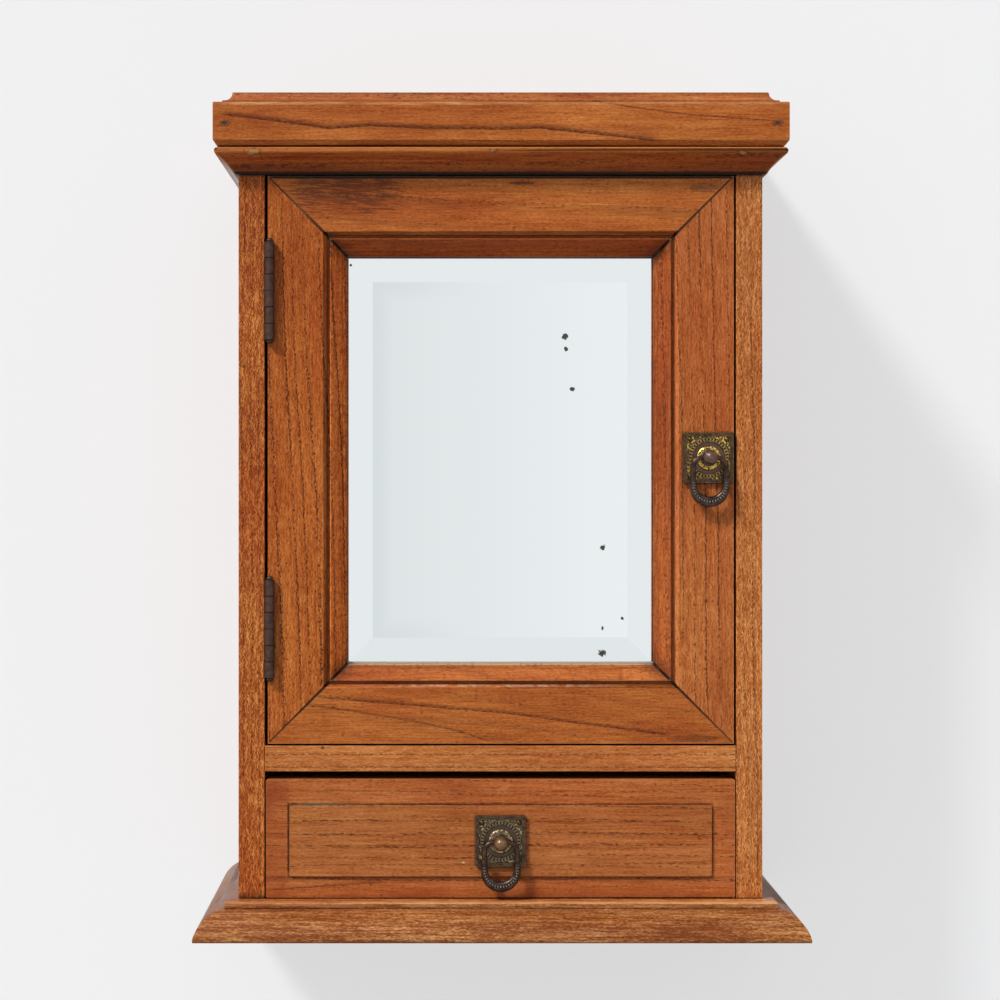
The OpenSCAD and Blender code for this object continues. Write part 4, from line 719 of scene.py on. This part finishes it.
INNER_TIMBERS = {
    "hanging_rail": Timber(heart=(400, 180), seed=20.1),
    "back_board_left": Timber(grain="Z", heart=(-160, 200), lean=(0.02, 0.01), tone=-0.05, seed=21.4),
    "back_board_middle": Timber(grain="Z", heart=(10, 230), lean=(0.03, 0.01), seed=22.8),
    "back_board_right": Timber(grain="Z", heart=(120, 190), lean=(0.02, 0.02), tone=-0.03, seed=23.9),
    "lower_shelf": Timber(heart=(200, -60), lean=(0, 0.02), seed=24.2),
    "upper_shelf": Timber(heart=(380, -80), lean=(0, 0.03), seed=25.6),
    "shelf_battens": Timber(grain="Y", heart=(200, 260), seed=26.3),
    "door_stop": Timber(grain="Z", heart=(230, 10), seed=27.7),
    "drawer_stops": Timber(heart=(60, 140), seed=28.8),
    "mitre_keys": Timber(heart=(300, 30), tone=-0.1, seed=29.1),
    "mirror_backing": Timber(grain="Z", heart=(20, 60), lean=(0.02, 0), tone=-0.06, seed=30.9),
    "drawer_side_left": Timber(grain="Y", heart=(-230, 60), tone=0.04, seed=31.2),
    "drawer_side_right": Timber(grain="Y", heart=(230, 60), tone=0.04, seed=32.7),
    "drawer_back": Timber(heart=(-80, 160), seed=33.5),
    "drawer_bottom": Timber(heart=(60, 120), lean=(0, 0.03), seed=34.6),
}


# Height between the dark lines round a hinge's barrel. They fall on the joints between its five
# knuckles, and once more on the middle of the long middle knuckle, where there is no joint.
BARREL_LINE_PITCH = 10 * MM


def barrel_lines(f):
    """The dark lines round both hinges' barrels."""
    z = f.axes()[2]
    lower, upper = low("lower_hinge_fixed_leaf").z, low("upper_hinge_fixed_leaf").z
    between = (lower + upper) / 2
    start = f.ramp(z, between, between + MM, lower, upper)
    joint = ((z - start) / BARREL_LINE_PITCH).math("FRACT")
    return f.ramp(abs(joint - 0.5), 0.45, 0.47) * 0.8


# Light, dark and rubbed brown of the iron
HINGE_BROWNS = paint(84, 54, 42), paint(50, 34, 29), paint(132, 98, 78)
IRON_BROWNS = paint(78, 50, 38), paint(44, 29, 24), paint(118, 90, 74)


def iron_finish(name, browns, patch_waves, metallic, lines=None):
    """Brown oxidised iron, rubbed dull at its edges, with dark lines where a piece has them."""
    f = Finish(name)
    light, dark, edge = browns
    patch, grit = f.grain_of_metal(patch_waves, 1900.0)
    colour = f.mix(f.ramp(patch, 0.3, 0.7), light, dark)
    rub = f.ramp(f.arris(0.8 * MM) + (patch - 0.5) * 0.5, 0.35, 0.8, 0.0, 0.6)
    colour = f.mix(rub, colour, edge)
    if lines:
        colour = f.coat(colour, lines(f), 18, 11, 9)
    colour = f.soiled(colour, 0.9 * MM, 0.6, 0.8, paint(16, 10, 8))
    f.surface(base_color=colour, metallic=metallic, roughness=f.ramp(grit, 0.3, 0.7, 0.42, 0.62))
    f.bump(grit + patch, 0.08 * MM, 0.5)
    return f.owner


def around(f, post):
    """Right of, above and out from the middle of a pull, in mm, and the share of a turn."""
    centre = middle(post)
    x, _, z = f.axes()
    right = (x - centre.x) * 1000
    up = (z - centre.z) * 1000
    far = (right * right + up * up).math("SQRT")
    return right, up, far, up.math("ARCTAN2", right) / math.tau


# Where a pull's plate changes, in mm from its middle
PULL_RIM = 13.25
PULL_RING_IN, PULL_RING_OUT = 9.8, 12.7
PULL_ROSE = 7.5
PULL_NOTCHES = 36

# The row of beads round the bail's lower bend: its middle and radius in mm, and its pitch
BEAD_CENTRE_UP = -16.8
BEAD_RADIUS = 10.0
BEAD_TURN = math.radians(10)


def plate_finish(name, post, bright, dish):
    """An old brass plate: dark, with bare patches round its notched ring and a broken bright rose."""
    f = Finish(name)
    right, up, far, turn = around(f, post)
    square = abs(right).math("MAXIMUM", abs(up))
    patch, grit = f.grain_of_metal(420.0, 2600.0, roughness=0.62)
    torn = f.noise(f.place(), 760.0, 3.0, 0.6)
    colour = f.mix(f.ramp(patch, 0.35, 0.65), paint(92, 70, 50), paint(50, 38, 29))
    smooth_dish = f.ramp(far, PULL_RING_IN - 0.2, PULL_RING_IN - 0.6)
    colour = f.mix(smooth_dish * f.ramp(far, PULL_ROSE, PULL_ROSE + 0.3), colour, dish)
    field = f.ramp(far, PULL_RING_OUT, PULL_RING_OUT + 0.3)
    field = field * f.ramp(square, PULL_RIM - 0.1, PULL_RIM - 0.4)
    bare = field * f.ramp(torn + (patch - 0.5) * 1.1, 0.52, 0.62)
    bare = bare.math("MAXIMUM", f.ramp(f.arris(0.6 * MM) + (torn - 0.5) * 0.9, 0.42, 0.7) * 0.6)
    rose = f.ramp(far, 5.1, 5.5) * f.ramp(far, PULL_ROSE, PULL_ROSE - 0.4)
    bare = bare.math("MAXIMUM", rose * f.ramp(torn + (patch - 0.5) * 0.5, 0.43, 0.54))
    rims = f.near(far, PULL_RING_IN + 0.2, 0.4) + f.near(far, PULL_RING_OUT - 0.2, 0.4)
    bare = bare.math("MAXIMUM", rims * f.ramp(torn, 0.46, 0.62, 0.0, 0.5))
    colour = f.mix(bare, colour, bright)
    ring = f.ramp(far, PULL_RING_IN + 0.5, PULL_RING_IN + 0.8)
    ring = ring * f.ramp(far, PULL_RING_OUT - 0.5, PULL_RING_OUT - 0.8)
    notch = f.ramp(abs((turn * PULL_NOTCHES).math("FRACT") - 0.5), 0.24, 0.34)
    tooth = ring * (1 - notch) * f.ramp(torn, 0.40, 0.62, 0.45, 0.85)
    colour = f.mix(tooth, colour, f.mix(0.45, dish, bright))
    colour = f.coat(colour, ring * notch, 12, 8, 6)
    colour = f.soiled(colour, 0.9 * MM, 0.6, 0.9, paint(20, 15, 10))
    f.surface(
        base_color=colour,
        metallic=f.ramp(bare, 0.0, 1.0, 0.7, 1.0, smooth=False),
        roughness=f.ramp(grit, 0.3, 0.7, 0.28, 0.5),
    )
    f.bump(grit * 0.6 + patch, 0.12 * MM, 0.6)
    return f.owner


def knob_finish(name, post, colour, edge):
    """The dark bronzed knob of a pull, rubbed on its face."""
    f = Finish(name)
    _, _, far, _ = around(f, post)
    patch, grit = f.grain_of_metal(380.0, 2200.0)
    shade = f.mix(f.ramp(patch, 0.35, 0.65), colour, [c * 0.55 for c in colour])
    rub = f.ramp(f.arris(0.9 * MM) + (patch - 0.5) * 0.8, 0.35, 0.75, 0.0, 0.7)
    shade = f.mix(rub * f.ramp(far, 1.5, 3.0), shade, edge)
    shade = f.soiled(shade, 1.4 * MM, 0.75, 1.0, paint(18, 12, 10))
    f.surface(base_color=shade, metallic=0.7, roughness=f.ramp(grit, 0.3, 0.7, 0.28, 0.42))
    f.bump(grit * 0.3 + patch, 0.08 * MM, 0.5)
    return f.owner


def bail_finish(name, pull, edge):
    """The cast bail of a pull: a row of beads in a dark groove, rubbed on its rims and lower bend."""
    f = Finish(name)
    right, up, _, _ = around(f, pull + "_post")
    _, y, _ = f.axes()
    patch, grit = f.grain_of_metal(340.0, 2200.0)
    colour = f.mix(f.ramp(patch, 0.34, 0.66), paint(88, 64, 54), paint(50, 38, 32))
    colour = f.mix(f.ramp(up, -6.0, -18.0), colour, f.tinted(colour, (0.80, 0.98, 1.10)))
    rub = f.arris(0.8 * MM) + (patch - 0.5) * 0.7 + f.ramp(up, -18.0, -24.0, 0.0, 0.12)
    colour = f.mix(f.ramp(rub, 0.42, 0.75, 0.0, 0.6), colour, edge)
    below = up - BEAD_CENTRE_UP
    hang = below.math("MINIMUM", 0.0)
    bend = (right * right + hang * hang).math("SQRT")
    bail_y = middle(pull + "_bail").y
    front = f.beyond(y, bail_y, 0.4, -0.3)
    groove = f.near(bend, BEAD_RADIUS, 0.95) * front * f.ramp(up, -12.5, -16.5)
    bead = (right.math("ARCTAN2", below * -1.0) / BEAD_TURN).math("FRACT")
    bead = f.ramp(abs(bead - 0.5), 0.12, 0.30)
    colour = f.mix(groove * 0.9, colour, f.mix(bead, paint(26, 21, 18), paint(108, 98, 86)))
    colour = f.soiled(colour, 0.8 * MM, 0.62, 0.9, paint(16, 12, 10))
    f.surface(base_color=colour, metallic=0.85, roughness=f.ramp(grit, 0.3, 0.7, 0.28, 0.46))
    f.bump(grit * 0.4 + patch, 0.1 * MM, 0.5)
    return f.owner


def pin_finish(name, colour, edge):
    """Domed brass pins and small brass fittings, dark with a bright rubbed edge."""
    f = Finish(name)
    patch, grit = f.grain_of_metal(520.0, 2400.0, detail=3.0)
    shade = f.mix(f.ramp(patch, 0.35, 0.65), colour, [c * 0.5 for c in colour])
    rub = f.ramp(f.arris(0.5 * MM) + (patch - 0.5) * 0.9, 0.34, 0.66, 0.0, 0.85)
    shade = f.mix(rub, shade, edge)
    shade = f.soiled(shade, 0.7 * MM, 0.6, 0.9, paint(18, 13, 9))
    f.surface(base_color=shade, metallic=0.95, roughness=f.ramp(grit, 0.3, 0.7, 0.22, 0.42))
    f.bump(grit * 0.5 + patch, 0.08 * MM, 0.5)
    return f.owner


def steel_finish():
    """Plain steel, a little dulled."""
    f = Finish("plain steel")
    patch = f.noise(f.place(), 700.0, 3.0, 0.6)
    colour = f.mix(f.ramp(patch, 0.35, 0.65), paint(168, 166, 160), paint(120, 116, 110))
    f.surface(base_color=colour, metallic=1.0, roughness=f.ramp(patch, 0.3, 0.7, 0.25, 0.42))
    return f.owner


# Dark spots in the silvering: x and z across the glass and radius, in mm
SILVER_SPOTS = [
    (40.3, 364.9, 1.9),
    (40.9, 357.5, 1.2),
    (44.6, 332.8, 1.4),
    (63.2, 235.2, 1.6),
    (75.5, 191.4, 1.0),
    (63.2, 185.2, 1.1),
    (63.2, 169.7, 2.2),
    (-92.0, 409.0, 0.8),
]


def mirror_finish():
    """Silvered glass with painted shade along the edge of its flat on its left half, a pale putty line at its
    foot, and a few spots where the silver has gone.
    """
    f = Finish("silvered glass")
    x, _, z = f.axes()
    _, away = f.past(FLAT_LOW, FLAT_HIGH)
    gone = None
    for number, (spot_x, spot_z, radius) in enumerate(SILVER_SPOTS):
        spot = f.spot((spot_x, spot_z), radius, ragged=0.45, grit=520.0 + 37.0 * number)
        gone = spot if gone is None else gone.math("MAXIMUM", spot)
    # Painted shade: the flat darker and bluer towards its edges, on the left half of the glass.
    shade = f.ramp(away, -14 * MM, -1 * MM, 0.0, 0.16) * f.ramp(x, 0.0, -0.08)
    colour = f.mix(shade * f.ramp(away, 0.6 * MM, 0.0), paint(241, 247, 248), paint(190, 204, 214))
    putty = f.beyond(z, DOOR_LOW.z, 49.3, 48.7, 0.0, 0.75)
    colour = f.coat(colour, putty, 204, 196, 168)
    f.surface(
        base_color=f.mix(gone, colour, paint(58, 52, 46)),
        metallic=1 - gone.math("MAXIMUM", putty),
        roughness=0.03 + gone * 0.5,
    )
    return f.owner


class CabinetLook(bpy.types.PropertyGroup):
    """Sizes and colours of the cabinet's looks."""

    arris_width: bpy.props.FloatProperty(
        name="Arris", description="Width of the eased edges of the boards", default=0.0006, unit="LENGTH"
    )
    wall_colour: bpy.props.FloatVectorProperty(
        name="Wall",
        description="Colour of the wall and floor",
        default=(0.90, 0.905, 0.915),
        subtype="COLOR",
    )
    wall_glow: bpy.props.FloatProperty(
        name="Wall glow",
        description="How far the wall's shadows are lightened",
        default=0.65,
        subtype="FACTOR",
    )
    key_strength: bpy.props.FloatProperty(
        name="Key", description="Strength of the lamp at the upper left", default=3.0
    )
    key_spread: bpy.props.FloatProperty(
        name="Key spread",
        description="Width of the lamp as seen from the cabinet",
        default=0.17,
        subtype="ANGLE",
    )
    sky_strength: bpy.props.FloatProperty(
        name="Sky", description="Strength of the light all round", default=0.47
    )


def look():
    """The cabinet's settings in this scene."""
    return bpy.context.scene.cabinet_look


def pick(piece):
    """Makes a piece the only selected and active one."""
    bpy.ops.object.select_all(action="DESELECT")
    piece.select_set(True)
    bpy.context.view_layer.objects.active = piece
    return piece


def apply_modifier(piece, kind, **settings):
    """Adds a modifier with its settings and applies it."""
    pick(piece)
    modifier = piece.modifiers.new(kind.title(), kind)
    for name, value in settings.items():
        setattr(modifier, name, value)
    bpy.ops.object.modifier_apply(modifier=modifier.name)


def copy_of(node, name):
    """A copy of a node's mesh with its loose triangles joined into whole faces."""
    piece = NODES[node].copy()
    piece.data = NODES[node].data.copy()
    piece.parent = None
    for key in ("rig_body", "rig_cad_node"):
        del piece[key]
    piece.name = name
    piece.data.name = name
    piece.data.materials.clear()
    bpy.context.scene.collection.objects.link(piece)
    pick(piece)
    bpy.ops.object.mode_set(mode="EDIT")
    bpy.ops.mesh.select_all(action="SELECT")
    bpy.ops.mesh.remove_doubles(threshold=1e-6)
    bpy.ops.mesh.dissolve_limited(angle_limit=math.radians(0.6))
    bpy.ops.object.mode_set(mode="OBJECT")
    return piece


def on_mitre(point):
    """Whether a point lies where two boards of the door or the cornice meet at a mitre."""
    side = min(point.x - DOOR_LOW.x, DOOR_HIGH.x - point.x)
    end = min(point.z - DOOR_LOW.z, DOOR_HIGH.z - point.z)
    corner = abs(point.x) - SIDE_X + point.y - FRONT_Y
    return min(abs(side - end), abs(corner)) < 0.05 * MM


def outer_edges(mesh, least):
    """The edges that stand out, are at least so long and aren't in a mitre."""
    first = {}
    found = set()
    for face in mesh.polygons:
        for loop in (mesh.loops[i] for i in face.loop_indices):
            if loop.edge_index not in first:
                first[loop.edge_index] = (face.normal, loop.vertex_index)
                continue
            normal, start = first[loop.edge_index]
            edge = mesh.edges[loop.edge_index]
            other = edge.vertices[0] if edge.vertices[1] == start else edge.vertices[1]
            a, b = mesh.vertices[start].co, mesh.vertices[other].co
            outward = normal.cross(face.normal).dot(b - a) > 0
            if outward and (b - a).length >= least and not (on_mitre(a) and on_mitre(b)):
                found.add(loop.edge_index)
    return found


def ease(piece, width, segments=2, least=6 * MM, sharpest=25.0):
    """Rounds every sharp outer edge that is at least so long."""
    pick(piece)
    bpy.ops.object.mode_set(mode="EDIT")
    bpy.ops.mesh.select_all(action="DESELECT")
    bpy.ops.mesh.select_mode(type="EDGE")
    bpy.ops.mesh.edges_select_sharp(sharpness=math.radians(sharpest))
    bpy.ops.object.mode_set(mode="OBJECT")
    mesh = piece.data
    outer = outer_edges(mesh, least)
    weights = mesh.attributes.new("bevel_weight_edge", "FLOAT", "EDGE")
    for edge in mesh.edges:
        weights.data[edge.index].value = float(edge.select and edge.index in outer)
    apply_modifier(
        piece,
        "BEVEL",
        width=width,
        segments=segments,
        limit_method="WEIGHT",
        use_clamp_overlap=False,
        profile=0.6,
    )


def smooth(piece, angle=35.0):
    """Shades a piece smooth, but for edges sharper than the angle."""
    pick(piece)
    bpy.ops.object.shade_smooth_by_angle(angle=math.radians(angle))
    apply_modifier(piece, "WEIGHTED_NORMAL", weight=90, keep_sharp=True)


def settle(piece, material, node, presser=None):
    """Gives a piece its material and hides its node. Without a presser the piece stands for its node on the
    node's body; with one, its place is only baked into its mesh.
    """
    piece.data.materials.clear()
    piece.data.materials.append(material)
    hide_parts(node)
    if presser is None:
        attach(piece, BODY_OF[node])
    else:
        right = Vector((high(node).x, low(node).y, low(node).z))
        low(node)
        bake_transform(piece)


# How much of the arris width each sort of oiled board gets, by the start of its name
ARRIS_SHARE = {"door": 0.6, "crown": 0.6, "fascia": 1.3, "base": 1.6, "cap": 1.0, "drawer_front": 0.8}


class CABINET_OT_boards(bpy.types.Operator):
    """Makes every board of oiled wood, with eased edges and its own grain"""

    bl_idname = "cabinet.boards"
    bl_label = "Oiled boards"

    def execute(self, context):
        for node, (colours, timber) in TIMBERS.items():
            piece = copy_of(node, "oiled_" + node)
            share = next((s for start, s in ARRIS_SHARE.items() if node.startswith(start)), 1.0)
            ease(piece, look().arris_width * share)
            smooth(piece)
            settle(piece, wood_finish(node + " wood", timber, colours), node)
        return {"FINISHED"}


class CABINET_OT_inner_boards(bpy.types.Operator):
    """Makes the plain boards inside, behind and in the drawer"""

    bl_idname = "cabinet.inner_boards"
    bl_label = "Plain boards"

    def execute(self, context):
        for node, timber in INNER_TIMBERS.items():
            piece = copy_of(node, "plain_" + node)
            ease(piece, look().arris_width * 0.6, segments=1)
            smooth(piece)
            # The inner boards get no painted shade and no wear.
            settle(piece, wood_finish(node + " wood", timber, PLAIN, worn=False), node)
        return {"FINISHED"}


class CABINET_OT_mirror(bpy.types.Operator):
    """Makes the bevelled mirror"""

    bl_idname = "cabinet.mirror"
    bl_label = "Mirror"

    def execute(self, context):
        piece = copy_of("mirror_glass", "bevelled_mirror")
        settle(piece, mirror_finish(), "mirror_glass")
        return {"FINISHED"}


# Bright brass, dish, knob and rubbed edge of each pull
PULL_COLOURS = {
    "door_pull": (paint(226, 188, 96), paint(96, 72, 62), paint(116, 88, 78), paint(150, 126, 110)),
    "drawer_pull": (paint(178, 160, 118), paint(82, 67, 54), paint(132, 102, 72), paint(140, 116, 96)),
}


class CABINET_OT_pulls(bpy.types.Operator):
    """Makes the two drop pulls: plate, pins, knob and bail"""

    bl_idname = "cabinet.pulls"
    bl_label = "Pulls"

    def execute(self, context):
        for pull, (bright, dish, knob, edge) in PULL_COLOURS.items():
            post = pull + "_post"
            words = pull.replace("_", " ")
            materials = {
                "_plate": plate_finish(words + " plate", post, bright, dish),
                "_pins": pin_finish(words + " pins", paint(96, 78, 46), bright),
                "_post": knob_finish(words + " knob", post, knob, edge),
                "_bail": bail_finish(words + " bail", pull, edge),
            }
            for part, material in materials.items():
                piece = copy_of(pull + part, "metal_" + pull + part)
                smooth(piece)
                settle(piece, material, pull + part)
        return {"FINISHED"}


HINGE_NODES = [
    "upper_hinge_fixed_leaf", "lower_hinge_fixed_leaf", "upper_hinge_door_leaf", "lower_hinge_door_leaf",
]
IRON_NODES = [
    "upper_hinge_pin", "lower_hinge_pin", "hinge_side_screws", "hinge_door_screws",
    "cornice_nails", "cap_nails", "back_nails", "mirror_brads",
]
BRASS_NODES = ["strike_plate", "strike_screws", "catch_tube"]
STEEL_NODES = ["base_screws", "catch_ball", "catch_spring"]

# The body named for each spring. A spring with one is left off any body, with its place baked into its mesh.
SPRING_PRESSERS = {"catch_spring": "catch_ball"}


class CABINET_OT_metal(bpy.types.Operator):
    """Makes the hinges, catch, screws and nails"""

    bl_idname = "cabinet.metal"
    bl_label = "Hinges, catch and nails"

    def execute(self, context):
        groups = (
            (HINGE_NODES, iron_finish("hinge iron", HINGE_BROWNS, 240.0, 0.5, barrel_lines)),
            (IRON_NODES, iron_finish("oxidised iron", IRON_BROWNS, 260.0, 0.55)),
            (BRASS_NODES, pin_finish("catch brass", paint(120, 98, 56), paint(206, 178, 108))),
            (STEEL_NODES, steel_finish()),
        )
        for nodes, material in groups:
            for node in nodes:
                piece = copy_of(node, "metal_" + node)
                smooth(piece)
                settle(piece, material, node, presser=SPRING_PRESSERS.get(node))
        return {"FINISHED"}


# The camera, found from the photograph's own perspective
CAMERA_PLACE = (-0.0406, -1.3565, 0.2766)
CAMERA_LENS = 76.3
CAMERA_SHIFT = (0.066, -0.020)

# The way to the main lamp, from the cornice's shadow on the door and the wall
KEY_WAY = Vector((-1.14, -1.0, 1.6)).normalized()

# The wall and floor: size of each, the wall's gap behind the cabinet and the floor's height, in metres
STAGE_SIZE = 6.0
WALL_GAP = 0.3 * MM
FLOOR_Z = -0.45

# How much light the floor throws back, and how far its shadows are lightened
FLOOR_BOUNCE, FLOOR_GLOW = 0.35, 0.9


class CABINET_OT_stage(bpy.types.Operator):
    """Sets up the pale wall and floor, the lamps and the camera"""

    bl_idname = "cabinet.stage"
    bl_label = "Stage"

    def pale_finish(self, name, bounce, glow):
        """Matt pale paint that shows from the front only, with its shadows lightened to the eye."""
        f = Finish(name)
        f.tree.nodes.remove(f.shader)
        colour = list(look().wall_colour)
        dimmed = [c * bounce for c in colour]
        matt = f.node("BsdfDiffuse", inputs={"Color": [*dimmed, 1.0]}, output="BSDF")
        shine = f.node("Emission", inputs={"Color": [*colour, 1.0]}, output="Emission")
        camera, glossy, through = (
            f.node("LightPath", output=f"Is {ray} Ray") for ray in ("Camera", "Glossy", "Transmission")
        )
        seen = (camera + glossy + through) * glow
        paler = f.node("MixShader", inputs={0: seen, 1: matt, 2: shine})
        clear = f.node("BsdfTransparent", output="BSDF")
        back = f.node("NewGeometry", output="Backfacing")
        shown = f.node("MixShader", inputs={0: back, 1: paler, 2: clear})
        output = next(n for n in f.tree.nodes if n.type == "OUTPUT_MATERIAL")
        f.tree.links.new(shown.socket, output.inputs["Surface"])
        return f.owner

    def sheet(self, name, place, turn, material):
        """A flat square of the stage."""
        bpy.ops.object.select_all(action="DESELECT")
        bpy.ops.mesh.primitive_plane_add(size=STAGE_SIZE, location=place, rotation=turn)
        made = bpy.context.object
        made.name = name
        made.data.materials.append(material)
        bpy.ops.object.transform_apply(location=True, rotation=True, scale=True)

    def sky(self):
        """Light from all round, strongest from the upper left and front, and pale when mirrored."""
        world = bpy.data.worlds.new("Studio")
        bpy.context.scene.world = world
        f = Finish("Studio", world)
        background = next(n for n in f.tree.nodes if n.type == "BACKGROUND")
        way = f.node("TexCoord", output="Generated")
        x, y, z = f.split(way)
        toward = x * -0.45 + y * -0.35 + z * 0.8
        lit = f.ramp(toward, -0.8, 0.9, 0.12, 1.4) * look().sky_strength
        aside = f.ramp(abs(x).math("MAXIMUM", abs(z)), 0.13, 0.2)
        front = f.ramp(x, -0.06, 0.10, 0.80, 0.945, smooth=False)
        mirrored = (front + (0.89 - front) * aside) * f.ramp(z, -0.9, -0.3, 0.55, 1.0)
        glossy = f.node("LightPath", output="Is Glossy Ray")
        camera = f.node("LightPath", output="Is Camera Ray")
        strength = lit + (mirrored - lit) * glossy
        strength = strength + (0.9 - strength) * camera
        f.tree.links.new(strength.socket, background.inputs["Strength"])
        background.inputs["Color"].default_value = (1.0, 1.0, 1.0, 1.0)

    def execute(self, context):
        wall = self.pale_finish("pale wall", 1.0, look().wall_glow)
        floor = self.pale_finish("pale floor", FLOOR_BOUNCE, FLOOR_GLOW)
        self.sheet("wall", (0, WALL_Y + WALL_GAP, 1.0), (math.radians(90), 0, 0), wall)
        self.sheet("floor", (0, 0, FLOOR_Z), (0, 0, 0), floor)
        bpy.ops.object.light_add(type="SUN", location=KEY_WAY * 3)
        key = bpy.context.object
        key.name = "key_lamp"
        key.data.energy = look().key_strength
        key.data.angle = look().key_spread
        key.rotation_euler = (-KEY_WAY).to_track_quat("-Z", "Y").to_euler()
        self.sky()
        bpy.ops.object.camera_add(location=CAMERA_PLACE, rotation=(math.radians(90), 0, 0))
        camera = bpy.context.object
        camera.data.lens = CAMERA_LENS
        camera.data.sensor_width = 36.0
        camera.data.shift_x, camera.data.shift_y = CAMERA_SHIFT
        camera.data.clip_start = 0.01
        context.scene.camera = camera
        context.scene.view_settings.view_transform = "Standard"
        return {"FINISHED"}


class CABINET_PT_panel(bpy.types.Panel):
    """Lists the cabinet's settings and the steps that make it"""

    bl_idname = "CABINET_PT_panel"
    bl_label = "Medicine cabinet"
    bl_space_type = "VIEW_3D"
    bl_region_type = "UI"
    bl_category = "Cabinet"

    def draw(self, context):
        for name in CabinetLook.__annotations__:
            self.layout.prop(context.scene.cabinet_look, name)
        for step in STEPS:
            self.layout.operator(step.bl_idname)


STEPS = (
    CABINET_OT_stage,
    CABINET_OT_boards,
    CABINET_OT_inner_boards,
    CABINET_OT_mirror,
    CABINET_OT_pulls,
    CABINET_OT_metal,
)
CLASSES = (CabinetLook, *STEPS, CABINET_PT_panel)


def register():
    for cls in CLASSES:
        bpy.utils.register_class(cls)
    bpy.types.Scene.cabinet_look = bpy.props.PointerProperty(type=CabinetLook)


def unregister():
    del bpy.types.Scene.cabinet_look
    for cls in reversed(CLASSES):
        bpy.utils.unregister_class(cls)


def main():
    register()
    bpy.ops.cabinet.stage()
    bpy.ops.cabinet.boards()
    bpy.ops.cabinet.inner_boards()
    bpy.ops.cabinet.mirror()
    bpy.ops.cabinet.pulls()
    bpy.ops.cabinet.metal()


if __name__ == "__main__":
    main()
